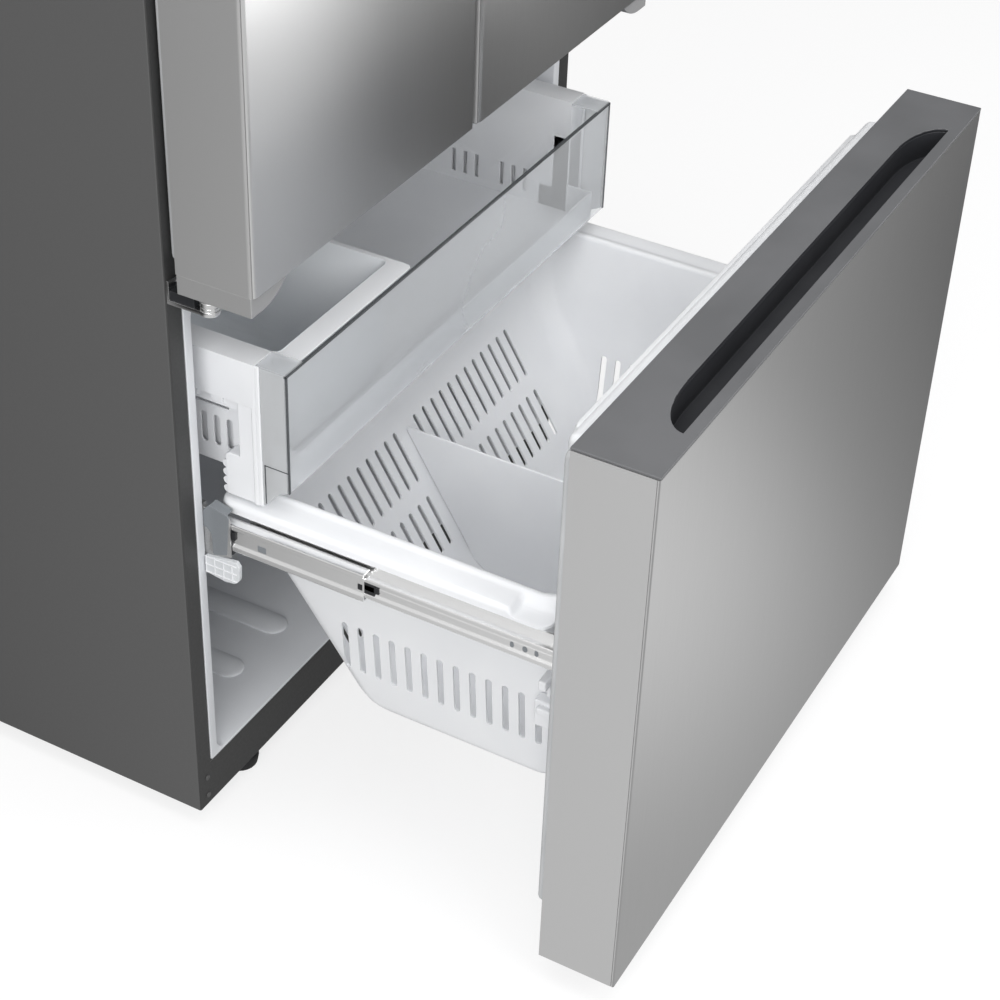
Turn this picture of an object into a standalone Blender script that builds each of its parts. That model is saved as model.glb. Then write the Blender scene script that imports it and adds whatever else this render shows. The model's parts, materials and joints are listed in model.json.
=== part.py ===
"""A french door refrigerator with a pull-out freezer drawer, modelled in metres with +Z up.

Every place in this file is measured in the cabinet's own frame: x = 0 is the middle of the cabinet,
y = 0 is the plane of its front flanges with +Y towards the back, and z = 0 is the lower edge of its
side panels. One root empty carries that frame to where the bottom centre of the whole object's box
is the world's origin. The freezer drawer stands open, and the two doors are closed.
"""

import math

import bmesh
import bpy
from mathutils import Matrix, Vector

# Driving dimensions
CASE_WIDTH = 0.908
CASE_DEPTH = 0.743
CASE_HEIGHT = 1.715
FOOT_HEIGHT = 0.028  # from the floor to the side panels' lower edge
DOOR_FRONT = -0.111  # plane of the closed doors and of the closed drawer
DOOR_BACK = -0.0145
DRAWER_TRAVEL = 0.460
TRAY_TRAVEL = 0.138

SHEET = 0.0015  # steel sheet
PLASTIC = 0.003  # moulded walls
GAP = 0.0004  # between pieces that touch
REACH = 0.05  # how far a cutter runs past what it cuts

HALF = CASE_WIDTH / 2
FLANGE = 0.027  # the front flanges' width
CAVITY_HALF = 0.412  # inside of both liners
LIP = 0.0145  # the liners' white border in front
CAVITY_BACK = 0.655

FREEZER_FLOOR = 0.084
FREEZER_TOP = 0.713
RAIL_LOW, RAIL_HIGH = 0.7325, 0.7855  # the steel rail between the two compartments
FRIDGE_FLOOR = 0.800
FRIDGE_TOP = 1.6725
HUMP_TOP = 0.265  # freezer floor over the machine compartment
MACHINE_FRONT, MACHINE_TOP = 0.470, 0.212

PIN_X, PIN_Y = 0.4425, -0.048  # the doors' hinge line
DOOR_GAP = 0.0045  # half the gap between the doors
DOOR_LOW, DOOR_HIGH = 0.777, 1.700  # the door skins' ends
DOOR_TOP = 1.712
DOOR_ROUND = 0.016

SLAB_FRONT = DOOR_FRONT - DRAWER_TRAVEL
SLAB_BACK = DOOR_BACK - DRAWER_TRAVEL
SLAB_LOW, SLAB_HIGH = 0.0139, 0.7326

RAIL_MID_Z = 0.4135  # middle height of the telescopic slides
DIVIDER_X = -0.030  # the basket's divider
TRAY_WING_BACK = -0.0590  # rear edge of the tray's clear front, with the drawer open
TRAY_CORNER_BACK = -0.0130  # rear end of the tray's front corners, with the drawer open
SLOT_PITCH = 0.0216  # of the basket's vent slots
BRACKET_FRONT = -0.0350  # front end of the slides' brackets, which stand in front of the flanges

OVERALL_DEPTH = CASE_DEPTH - SLAB_FRONT
ORIGIN = Vector((0.0, OVERALL_DEPTH / 2 - CASE_DEPTH, FOOT_HEIGHT))

MATERIALS = {  # colour, roughness, metallic
    "painted_steel": ((0.115, 0.115, 0.118), 0.45, 0.3),
    "galvanised_steel": ((0.62, 0.63, 0.64), 0.45, 0.9),
    "brushed_steel": ((0.60, 0.60, 0.60), 0.34, 0.95),
    "zinc_steel": ((0.66, 0.67, 0.68), 0.30, 0.95),
    "white_plastic": ((0.84, 0.85, 0.86), 0.45, 0.0),
    "clear_plastic": ((0.86, 0.89, 0.90), 0.08, 0.0),
    "shelf_glass": ((0.80, 0.87, 0.86), 0.06, 0.0),
    "dark_plastic": ((0.125, 0.127, 0.132), 0.50, 0.0),
    "grey_plastic": ((0.36, 0.36, 0.36), 0.50, 0.0),
    "gasket_rubber": ((0.62, 0.63, 0.64), 0.70, 0.0),
    "foot_rubber": ((0.02, 0.02, 0.022), 0.75, 0.0),
    "foam": ((0.86, 0.80, 0.62), 0.90, 0.0),
    "black_enamel": ((0.018, 0.018, 0.020), 0.35, 0.4),
    "aluminium": ((0.78, 0.79, 0.80), 0.35, 0.9),
}


# ---------------------------------------------------------------- helpers


def clear_scene():
    for item in list(bpy.data.objects):
        bpy.data.objects.remove(item, do_unlink=True)


def collection(name, shown):
    group = bpy.data.collections.new(name)
    group.hide_render = not shown
    bpy.context.scene.collection.children.link(group)
    return group


def make_materials():
    made = {}
    for name, (colour, roughness, metallic) in MATERIALS.items():
        material = bpy.data.materials.new(name)
        material.use_nodes = True
        shader = material.node_tree.nodes["Principled BSDF"]
        shader.inputs["Base Color"].default_value = (*colour, 1.0)
        shader.inputs["Roughness"].default_value = roughness
        shader.inputs["Metallic"].default_value = metallic
        made[name] = material
    return made


clear_scene()
PARTS = collection("french_door_refrigerator", True)
CUTTERS = collection("cutters", False)
MADE = make_materials()
BODIES = {}  # body name to its empty and the empty's place in the cabinet's frame


def add_body(name, at, parent=None):
    """An empty on a body's joint axis, which carries the body's pieces."""
    empty = bpy.data.objects.new(name + "_frame", None)
    empty.empty_display_size = 0.05
    PARTS.objects.link(empty)
    at = Vector(at)
    if parent:
        parent_empty, parent_at = BODIES[parent]
        empty.parent = parent_empty
        empty.location = at - parent_at
    else:
        empty.location = ORIGIN + at
    BODIES[name] = (empty, at)


def place(name, mesh, slot, body):
    """Makes the object from a mesh in the cabinet's frame. A piece with no slot is a cutter."""
    empty, at = BODIES[body]
    mesh.transform(Matrix.Translation(-at))
    mesh.name = name
    piece = bpy.data.objects.new(name, mesh)
    piece.parent = empty
    if slot:
        mesh.materials.append(MADE[slot])
        PARTS.objects.link(piece)
    else:
        CUTTERS.objects.link(piece)
        piece.hide_render = True
        piece.display_type = "WIRE"
    return piece


def to_mesh(shape, smooth_over=None):
    mesh = bpy.data.meshes.new("shape")
    bmesh.ops.recalc_face_normals(shape, faces=shape.faces)
    shape.to_mesh(mesh)
    shape.free()
    if smooth_over:
        mesh.shade_smooth()
        mesh.set_sharp_from_angle(angle=math.radians(smooth_over))
    return mesh


def add_cube(shape, low, high):
    made = bmesh.ops.create_cube(shape, size=1.0)["verts"]
    size = Vector(high) - Vector(low)
    bmesh.ops.scale(shape, vec=size, verts=made)
    bmesh.ops.translate(shape, vec=(Vector(high) + Vector(low)) / 2, verts=made)
    return made


def box(name, low, high, slot, body):
    shape = bmesh.new()
    add_cube(shape, low, high)
    return place(name, to_mesh(shape), slot, body)


def boxes(name, spans, body):
    """One cutter made of several separate boxes."""
    shape = bmesh.new()
    for low, high in spans:
        add_cube(shape, low, high)
    return place(name, to_mesh(shape), None, body)


def cylinder(name, centre, axis, radius, length, slot, body, sides=24):
    """A cylinder whose middle is at centre, along the axis named X, Y or Z."""
    shape = bmesh.new()
    bmesh.ops.create_cone(
        shape, cap_ends=True, segments=sides, radius1=radius, radius2=radius, depth=length
    )
    turn = {"X": Matrix.Rotation(math.pi / 2, 4, "Y"), "Y": Matrix.Rotation(math.pi / 2, 4, "X")}
    bmesh.ops.transform(shape, matrix=turn.get(axis, Matrix.Identity(4)), verts=shape.verts)
    bmesh.ops.translate(shape, vec=centre, verts=shape.verts)
    return place(name, to_mesh(shape, 40), slot, body)


PLANES = {  # columns: where the outline's two axes and the extrusion point
    "XY": Matrix(((1, 0, 0), (0, 1, 0), (0, 0, 1))),
    "YZ": Matrix(((0, 0, 1), (1, 0, 0), (0, 1, 0))),
    "XZ": Matrix(((1, 0, 0), (0, 0, -1), (0, 1, 0))),
}


def prism(name, outline, plane, start, end, slot, body):
    """A flat outline in one plane, extruded along the third axis from start to end."""
    curve = bpy.data.curves.new(name, "CURVE")
    curve.dimensions = "2D"
    curve.fill_mode = "BOTH"
    curve.extrude = abs(end - start) / 2
    spline = curve.splines.new("POLY")
    spline.points.add(len(outline) - 1)
    for point, (across, up) in zip(spline.points, outline):
        point.co = (across, up, 0.0, 1.0)
    spline.use_cyclic_u = True
    drawn = bpy.data.objects.new(name + "_curve", curve)
    CUTTERS.objects.link(drawn)
    bpy.context.view_layer.update()
    graph = bpy.context.evaluated_depsgraph_get()
    mesh = bpy.data.meshes.new_from_object(drawn.evaluated_get(graph))
    bpy.data.objects.remove(drawn, do_unlink=True)
    turn = PLANES[plane]
    along = turn.col[2]
    middle = Vector([abs(part) for part in along]) * (start + end) / 2
    mesh.transform(Matrix.Translation(middle) @ turn.to_4x4())
    shape = bmesh.new()
    shape.from_mesh(mesh)
    bmesh.ops.remove_doubles(shape, verts=shape.verts, dist=1e-6)
    bpy.data.meshes.remove(mesh)
    return place(name, to_mesh(shape, 35), slot, body)


def arc(centre, radius, first, last, steps=4):
    """Points on a circle from one angle in degrees to another."""
    points = []
    for step in range(steps + 1):
        angle = math.radians(first + (last - first) * step / steps)
        points.append((centre[0] + radius * math.cos(angle), centre[1] + radius * math.sin(angle)))
    return points


def turned(name, profile, centre, slot, body, sides=24):
    """A profile of radius and height, listed down its outer side, turned about a vertical axis."""
    mesh = bpy.data.meshes.new(name)
    points = [(radius, 0.0, height) for radius, height in profile]
    mesh.from_pydata(points, [(i, i + 1) for i in range(len(points) - 1)], [])
    _, at = BODIES[body]
    piece = bpy.data.objects.new(name, mesh)
    mesh.materials.append(MADE[slot])
    PARTS.objects.link(piece)
    piece.parent = BODIES[body][0]
    piece.location = Vector(centre) - at
    screw = piece.modifiers.new("turn", "SCREW")
    screw.steps = sides
    screw.render_steps = sides
    screw.use_merge_vertices = True
    screw.merge_threshold = 0.00001
    screw.use_smooth_shade = True
    return piece


def tub(name, top, bottom, low, high, slot, body, wall=PLASTIC, rounding=0.0):
    """An open-topped moulded tub: top and bottom are (x0, x1, y0, y1) of its outside."""
    shape = bmesh.new()
    corners = add_cube(shape, (0, 0, 0), (1, 1, 1))
    for corner in corners:
        x0, x1, y0, y1 = top if corner.co.z > 0.5 else bottom
        corner.co.x = x1 if corner.co.x > 0.5 else x0
        corner.co.y = y1 if corner.co.y > 0.5 else y0
        corner.co.z = high if corner.co.z > 0.5 else low
    lid = max(shape.faces, key=lambda face: face.calc_center_median().z)
    bmesh.ops.recalc_face_normals(shape, faces=shape.faces)
    bmesh.ops.delete(shape, geom=[lid], context="FACES_ONLY")
    if rounding:
        edges = [edge for edge in shape.edges if not edge.is_boundary]
        bmesh.ops.bevel(
            shape, geom=edges, offset=rounding, segments=3, profile=0.5, affect="EDGES"
        )
    mesh = bpy.data.meshes.new(name)
    shape.to_mesh(mesh)
    shape.free()
    piece = place(name, mesh, slot, body)
    solid = piece.modifiers.new("wall", "SOLIDIFY")
    solid.thickness = wall
    solid.offset = -1.0
    solid.use_even_offset = True
    return piece


def combine(piece, tool, operation):
    change = piece.modifiers.new(operation.lower(), "BOOLEAN")
    change.operation = operation
    change.solver = "EXACT"
    change.object = tool


def cut(piece, *tools):
    for tool in tools:
        combine(piece, tool, "DIFFERENCE")
    return piece


def join(piece, *tools):
    for tool in tools:
        combine(piece, tool, "UNION")
    return piece


def soften(piece, width, segments=2):
    """Rounds the edges of a piece that are sharper than 40 degrees."""
    bevel = piece.modifiers.new("round", "BEVEL")
    bevel.width = width
    bevel.segments = segments
    bevel.limit_method = "ANGLE"
    bevel.angle_limit = math.radians(40)
    return piece


def mirrored(x0, x1, side):
    """A span of x on one side: side is -1 for the left and 1 for the right."""
    return sorted((side * x0, side * x1))


# ---------------------------------------------------------------- bodies

SIDES = {"left": -1, "right": 1}
FAN_CENTRE = (-0.02, 0.605, 0.118)
FOOT_X, FOOT_Y = 0.3275, 0.030
ROLLER_RADIUS = 0.022
ROLLER_X, ROLLER_Y, ROLLER_Z = 0.360, 0.665, ROLLER_RADIUS - FOOT_HEIGHT
FLAP_X, FLAP_Y = -0.038, 0.0075

add_body("cabinet", (0, 0, 0))
add_body("left_door", (-PIN_X, PIN_Y, DOOR_LOW), "cabinet")
add_body("right_door", (PIN_X, PIN_Y, DOOR_LOW), "cabinet")
add_body("mullion", (FLAP_X, FLAP_Y, FRIDGE_FLOOR), "left_door")
add_body("freezer_drawer", (0, SLAB_BACK, SLAB_LOW), "cabinet")
add_body("slide_left", (-0.40, -0.21, 0.40), "cabinet")
add_body("slide_right", (0.40, -0.21, 0.40), "cabinet")
add_body("freezer_tray", (0, -0.099, 0.485), "cabinet")
add_body("roller_left", (-ROLLER_X, ROLLER_Y, ROLLER_Z), "cabinet")
add_body("roller_right", (ROLLER_X, ROLLER_Y, ROLLER_Z), "cabinet")
add_body("fan", FAN_CENTRE, "cabinet")


# ---------------------------------------------------------------- cabinet


def make_cabinet_shell():
    """The folded steel wrapper: sides, top, front flanges, base rail and the rail between cavities."""
    inside = HALF - SHEET
    shell = box(
        "cabinet_shell", (-HALF, 0, 0), (HALF, CASE_DEPTH, CASE_HEIGHT), "painted_steel", "cabinet"
    )
    hollow = box(
        "shell_hollow",
        (-inside, SHEET, -REACH),
        (inside, CASE_DEPTH + REACH, CASE_HEIGHT - SHEET),
        None,
        "cabinet",
    )
    mouth = HALF - FLANGE
    windows = boxes(
        "shell_windows",
        [
            ((-mouth, -REACH, FREEZER_FLOOR - 0.019), (mouth, REACH, RAIL_LOW)),
            ((-mouth, -REACH, RAIL_HIGH), (mouth, REACH, CASE_HEIGHT - FLANGE)),
        ],
        "cabinet",
    )
    return cut(shell, hollow, windows)


def freezer_outline(grow):
    """The freezer cavity from the side, in y and z, larger by grow all round."""
    return [
        (0.0, FREEZER_FLOOR - grow),
        (0.400 + grow, FREEZER_FLOOR - grow),
        (0.465 + grow, HUMP_TOP - grow),
        (CAVITY_BACK + grow, HUMP_TOP - grow),
        (CAVITY_BACK + grow, FREEZER_TOP + grow),
        (0.0, FREEZER_TOP + grow),
    ]


def make_liners():
    """The two white liners, each with its front lip."""
    lip = CAVITY_HALF + LIP
    skin = CAVITY_HALF + PLASTIC
    freezer = prism(
        "freezer_liner", freezer_outline(PLASTIC), "YZ", -skin, skin, "white_plastic", "cabinet"
    )
    freezer_lip = box(
        "freezer_lip",
        (-lip, 0.0, FREEZER_FLOOR - 0.0185),
        (lip, PLASTIC, RAIL_LOW - 0.0005),
        None,
        "cabinet",
    )
    hollow = [(y - (REACH if y == 0 else 0), z) for y, z in freezer_outline(0.0)]
    room = prism("freezer_room", hollow, "YZ", -CAVITY_HALF, CAVITY_HALF, None, "cabinet")
    join(freezer, freezer_lip)
    cut(freezer, room)
    ledge_front = TRAY_CORNER_BACK + TRAY_TRAVEL + 0.006
    for side_name, side in SIDES.items():
        x0, x1 = mirrored(0.372, CAVITY_HALF + 0.001, side)
        ledge = box(
            "tray_ledge_" + side_name, (x0, ledge_front, 0.556), (x1, 0.560, 0.568), None, "cabinet"
        )
        join(freezer, ledge)

    fridge = box(
        "fridge_liner",
        (-skin, 0.0, FRIDGE_FLOOR - PLASTIC),
        (skin, CAVITY_BACK + PLASTIC, FRIDGE_TOP + PLASTIC),
        "white_plastic",
        "cabinet",
    )
    fridge_lip = box(
        "fridge_lip",
        (-lip, 0.0, RAIL_HIGH + 0.0005),
        (lip, PLASTIC, CASE_HEIGHT - FLANGE - 0.0005),
        None,
        "cabinet",
    )
    fridge_room = box(
        "fridge_room",
        (-CAVITY_HALF, -REACH, FRIDGE_FLOOR),
        (CAVITY_HALF, CAVITY_BACK, FRIDGE_TOP),
        None,
        "cabinet",
    )
    join(fridge, fridge_lip)
    cut(fridge, fridge_room)


def make_insulation():
    """The foam between the wrapper and the liners, open where the machine compartment is."""
    edge = HALF - SHEET - GAP
    foam = box(
        "insulation_foam",
        (-edge, PLASTIC + GAP, 0.030),
        (edge, CASE_DEPTH - SHEET - GAP, CASE_HEIGHT - SHEET - GAP),
        "foam",
        "cabinet",
    )
    clear = PLASTIC + GAP
    side = CAVITY_HALF + clear
    outline = [(y - (REACH if y == 0 else 0), z) for y, z in freezer_outline(clear)]
    freezer_void = prism("foam_freezer_void", outline, "YZ", -side, side, None, "cabinet")
    fridge_void = box(
        "foam_fridge_void",
        (-side, -REACH, FRIDGE_FLOOR - clear),
        (side, CAVITY_BACK + clear, FRIDGE_TOP + clear),
        None,
        "cabinet",
    )
    machine_void = box(
        "foam_machine_void",
        (-HALF, MACHINE_FRONT, -REACH),
        (HALF, CASE_DEPTH + REACH, MACHINE_TOP),
        None,
        "cabinet",
    )
    cut(foam, freezer_void, fridge_void, machine_void)


def make_back():
    """The back panel, the slotted cover of the machine compartment and the mains lead's gland."""
    edge = HALF - SHEET - GAP
    rear = CASE_DEPTH - SHEET
    box(
        "back_panel",
        (-edge, rear, MACHINE_TOP + GAP),
        (edge, CASE_DEPTH, CASE_HEIGHT - SHEET - GAP),
        "galvanised_steel",
        "cabinet",
    )
    cover = box(
        "machine_cover",
        (-edge, rear, 0.006),
        (edge, CASE_DEPTH, MACHINE_TOP),
        "dark_plastic",
        "cabinet",
    )
    louvres = []
    near, far = rear - REACH, CASE_DEPTH + REACH
    for column in range(3):
        left = -0.30 + column * 0.22
        for row in range(5):
            low = 0.050 + row * 0.028
            louvres.append(((left, near, low), (left + 0.17, far, low + 0.010)))
    gland_x, gland_z, gland_radius = 0.400, 0.060, 0.011
    hole = cylinder(
        "gland_hole", (gland_x, rear, gland_z), "Y", gland_radius + GAP, 0.1, None, "cabinet"
    )
    cut(cover, boxes("louvres", louvres, "cabinet"), hole)
    gland = cylinder(
        "cord_gland",
        (gland_x, CASE_DEPTH - 0.010, gland_z),
        "Y",
        gland_radius,
        0.020,
        "foot_rubber",
        "cabinet",
    )
    bore = cylinder("gland_bore", (gland_x, rear, gland_z), "Y", 0.0042, 0.1, None, "cabinet")
    cut(gland, bore)


def make_base():
    """The base pan with the rear rollers' forks and axles, the rollers and the levelling feet."""
    pan_low, pan_high = 0.0205, 0.0220
    edge = HALF - SHEET - GAP
    pan = box(
        "base_pan",
        (-edge, 0.004, pan_low),
        (edge, CASE_DEPTH - SHEET - GAP, pan_high),
        "galvanised_steel",
        "cabinet",
    )
    wheel_width = 0.022
    for side_name, side in SIDES.items():
        centre = (side * ROLLER_X, ROLLER_Y, ROLLER_Z)
        for cheek in (-1, 1):
            inner = cheek * (wheel_width / 2 + 0.0012)
            outer = inner + cheek * 0.0025
            x0, x1 = sorted((centre[0] + inner, centre[0] + outer))
            lug = box(
                f"roller_lug_{side_name}_{cheek}",
                (x0, ROLLER_Y - 0.013, ROLLER_Z - 0.009),
                (x1, ROLLER_Y + 0.013, pan_low + 0.0005),
                None,
                "cabinet",
            )
            join(pan, lug)
        axle = cylinder(
            "roller_axle_" + side_name, centre, "X", 0.0040, wheel_width + 0.009, None, "cabinet", 16
        )
        join(pan, axle)
        roller = cylinder(
            "rear_roller_" + side_name,
            centre,
            "X",
            ROLLER_RADIUS,
            wheel_width,
            "dark_plastic",
            "roller_" + side_name,
            32,
        )
        bore = cylinder(
            "roller_bore_" + side_name, centre, "X", 0.0045, 0.05, None, "roller_" + side_name, 16
        )
        cut(roller, bore)
        profile = [
            (0.0, pan_low - GAP),
            (0.0060, pan_low - GAP),
            (0.0060, -0.006),
            (0.0150, -0.009),
            (0.0235, -0.013),
            (0.0245, -0.017),
            (0.0225, -FOOT_HEIGHT),
            (0.0, -FOOT_HEIGHT),
        ]
        at = (side * FOOT_X, FOOT_Y, 0.0)
        turned("levelling_foot_" + side_name, profile, at, "foot_rubber", "cabinet")


def make_machine():
    """The compressor and the condenser's fan on the base pan."""
    floor = 0.0224
    profile = [(0.0, 0.170 + floor)]
    profile += arc((0.045, 0.130 + floor), 0.040, 80, 0)
    profile += [(0.088, 0.122 + floor), (0.088, 0.114 + floor), (0.085, 0.110 + floor)]
    profile += arc((0.045, 0.050 + floor), 0.040, 0, -80)
    profile += [(0.050, floor), (0.0, floor)]
    turned("compressor", profile, (0.230, 0.605, 0.0), "black_enamel", "cabinet")

    fan = cylinder("condenser_fan", FAN_CENTRE, "X", 0.020, 0.026, "dark_plastic", "fan", 20)
    for number in range(5):
        angle = math.radians(72 * number)
        shape = bmesh.new()
        add_cube(shape, (-0.0012, -0.019, 0.012), (0.0012, 0.019, 0.072))
        pitch = Matrix.Rotation(math.radians(35), 4, "Z")
        spin = Matrix.Rotation(angle, 4, "X")
        shift = Matrix.Translation(FAN_CENTRE)
        bmesh.ops.transform(shape, matrix=shift @ spin @ pitch, verts=shape.verts)
        blade = place(f"fan_blade_{number}", to_mesh(shape), None, "fan")
        join(fan, blade)


def make_cooling():
    """The evaporator behind its cover in the freezer, and the air duct up the fridge's back wall."""
    cover = box(
        "evaporator_cover",
        (-CAVITY_HALF + 0.004, 0.596, HUMP_TOP + GAP),
        (CAVITY_HALF - 0.004, 0.600, FREEZER_TOP - 0.004),
        "white_plastic",
        "cabinet",
    )
    vents = []
    for column in range(9):
        left = -0.27 + column * 0.06
        vents.append(((left, 0.5, 0.640), (left + 0.045, 0.7, 0.655)))
        vents.append(((left, 0.5, 0.300), (left + 0.045, 0.7, 0.312)))
    cut(cover, boxes("cover_vents", vents, "cabinet"))

    tube = bpy.data.curves.new("evaporator_tube", "CURVE")
    tube.dimensions = "3D"
    tube.bevel_depth = 0.005
    tube.bevel_resolution = 1
    tube.use_fill_caps = True
    spline = tube.splines.new("POLY")
    points = []
    rows, reach = 8, 0.30
    for row in range(rows):
        height = 0.330 + row * 0.040
        ends = (-reach, reach) if row % 2 == 0 else (reach, -reach)
        points += [(end, 0.628, height) for end in ends]
    spline.points.add(len(points) - 1)
    for point, place_of in zip(spline.points, points):
        point.co = (*place_of, 1.0)
    coil = bpy.data.objects.new("evaporator_coil", tube)
    tube.materials.append(MADE["aluminium"])
    PARTS.objects.link(coil)
    coil.parent = BODIES["cabinet"][0]

    duct = box(
        "air_duct",
        (-0.125, 0.622, 0.860),
        (0.125, CAVITY_BACK - GAP, 1.640),
        "white_plastic",
        "cabinet",
    )
    slots = []
    for row in range(4):
        low = 0.98 + row * 0.17
        slots += [((x, 0.5, low), (x + 0.06, 0.640, low + 0.012)) for x in (-0.10, 0.04)]
    cut(duct, boxes("duct_slots", slots, "cabinet"))


def make_shelf(name, x0, x1, low):
    """A shelf whose frame stands above and below its pane."""
    front, back, height, frame = 0.145, 0.615, 0.018, 0.012
    pane_low, pane_high = low + 0.0105, low + height - 0.003
    shelf = box(name, (x0, front, low), (x1, back, low + height), "shelf_glass", "cabinet")
    inside = (x0 + frame, x1 - frame, front + frame, back - frame)
    for part, bottom, top in (("above", pane_high, low + REACH), ("below", low - REACH, pane_low)):
        recess = box(
            f"{name}_{part}",
            (inside[0], inside[2], bottom),
            (inside[1], inside[3], top),
            None,
            "cabinet",
        )
        cut(shelf, recess)


def make_fridge_fittings():
    """Shelves, the crispers' cover and the two crispers."""
    for side_name, side in SIDES.items():
        make_shelf("shelf_" + side_name, *mirrored(0.004, 0.409, side), 1.300)
        c0, c1 = mirrored(0.010, 0.400, side)
        tub(
            "crisper_" + side_name,
            (c0, c1, 0.145, 0.600),
            (c0 + 0.006, c1 - 0.006, 0.150, 0.590),
            FRIDGE_FLOOR + 0.006,
            1.062,
            "clear_plastic",
            "cabinet",
            wall=0.0028,
            rounding=0.012,
        )
    make_shelf("crisper_cover", -0.409, 0.409, 1.072)


# ---------------------------------------------------------------- hinges and doors

CAP_LOW = 0.7745  # the doors' bottom caps
BOSS_LOW = 0.7535
BOSS_ROUND = 0.062
PIN_RADIUS = 0.006


def make_hinges(side_name, side):
    """The middle hinge's bracket with its pin, and the top hinge with its cover."""
    pin = (side * PIN_X, PIN_Y)
    plate_low, plate_high = 0.7365, 0.7415
    x0, x1 = mirrored(0.4265, 0.4525, side)
    bracket = box(
        "middle_hinge_" + side_name,
        (x0, -0.0035, plate_low),
        (x1, -GAP, 0.7640),
        "zinc_steel",
        "cabinet",
    )
    arm = box(
        "hinge_arm_" + side_name, (x0, PIN_Y, plate_low), (x1, -0.001, plate_high), None, "cabinet"
    )
    nose = cylinder(
        "hinge_nose_" + side_name,
        (*pin, (plate_low + plate_high) / 2),
        "Z",
        0.0112,
        plate_high - plate_low,
        None,
        "cabinet",
        32,
    )
    washer = cylinder(
        "hinge_washer_" + side_name, (*pin, 0.7468), "Z", 0.0100, 0.0122, None, "cabinet"
    )
    post = cylinder(
        "hinge_post_" + side_name, (*pin, 0.7520), "Z", PIN_RADIUS, 0.0220, None, "cabinet"
    )
    join(bracket, arm, nose, washer, post)

    top_low = CASE_HEIGHT + GAP
    x0, x1 = mirrored(0.400, 0.4515, side)
    leaf = box(
        "top_hinge_" + side_name,
        (x0, PIN_Y - 0.012, top_low),
        (x1, 0.090, top_low + 0.005),
        "zinc_steel",
        "cabinet",
    )
    top_pin = cylinder(
        "top_pin_" + side_name,
        (*pin, DOOR_TOP + 0.0005),
        "Z",
        0.005,
        0.0140,
        None,
        "cabinet",
    )
    join(leaf, top_pin)
    c0, c1 = mirrored(0.388, HALF, side)
    cover = box(
        "hinge_cover_" + side_name,
        (c0, PIN_Y - 0.022, top_low),
        (c1, 0.125, top_low + 0.030),
        "dark_plastic",
        "cabinet",
    )
    soften(cover, 0.006)
    cavity = box(
        "cover_cavity_" + side_name,
        (c0 + 0.0022, PIN_Y - 0.0198, top_low - REACH),
        (c1 - 0.0022, 0.1228, top_low + 0.0275),
        None,
        "cabinet",
    )
    cut(cover, cavity)


def door_outline(x0, x1, inset):
    """A door from above: square at the back, rounded at its two front edges."""
    front = DOOR_FRONT + inset
    back = DOOR_BACK - inset * 0.5
    radius = DOOR_ROUND - inset
    left = arc((x0 + inset + radius, front + radius), radius, 180, 270)
    right = arc((x1 - inset - radius, front + radius), radius, 270, 360)
    return [(x0 + inset, back)] + left + right + [(x1 - inset, back)]


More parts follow.
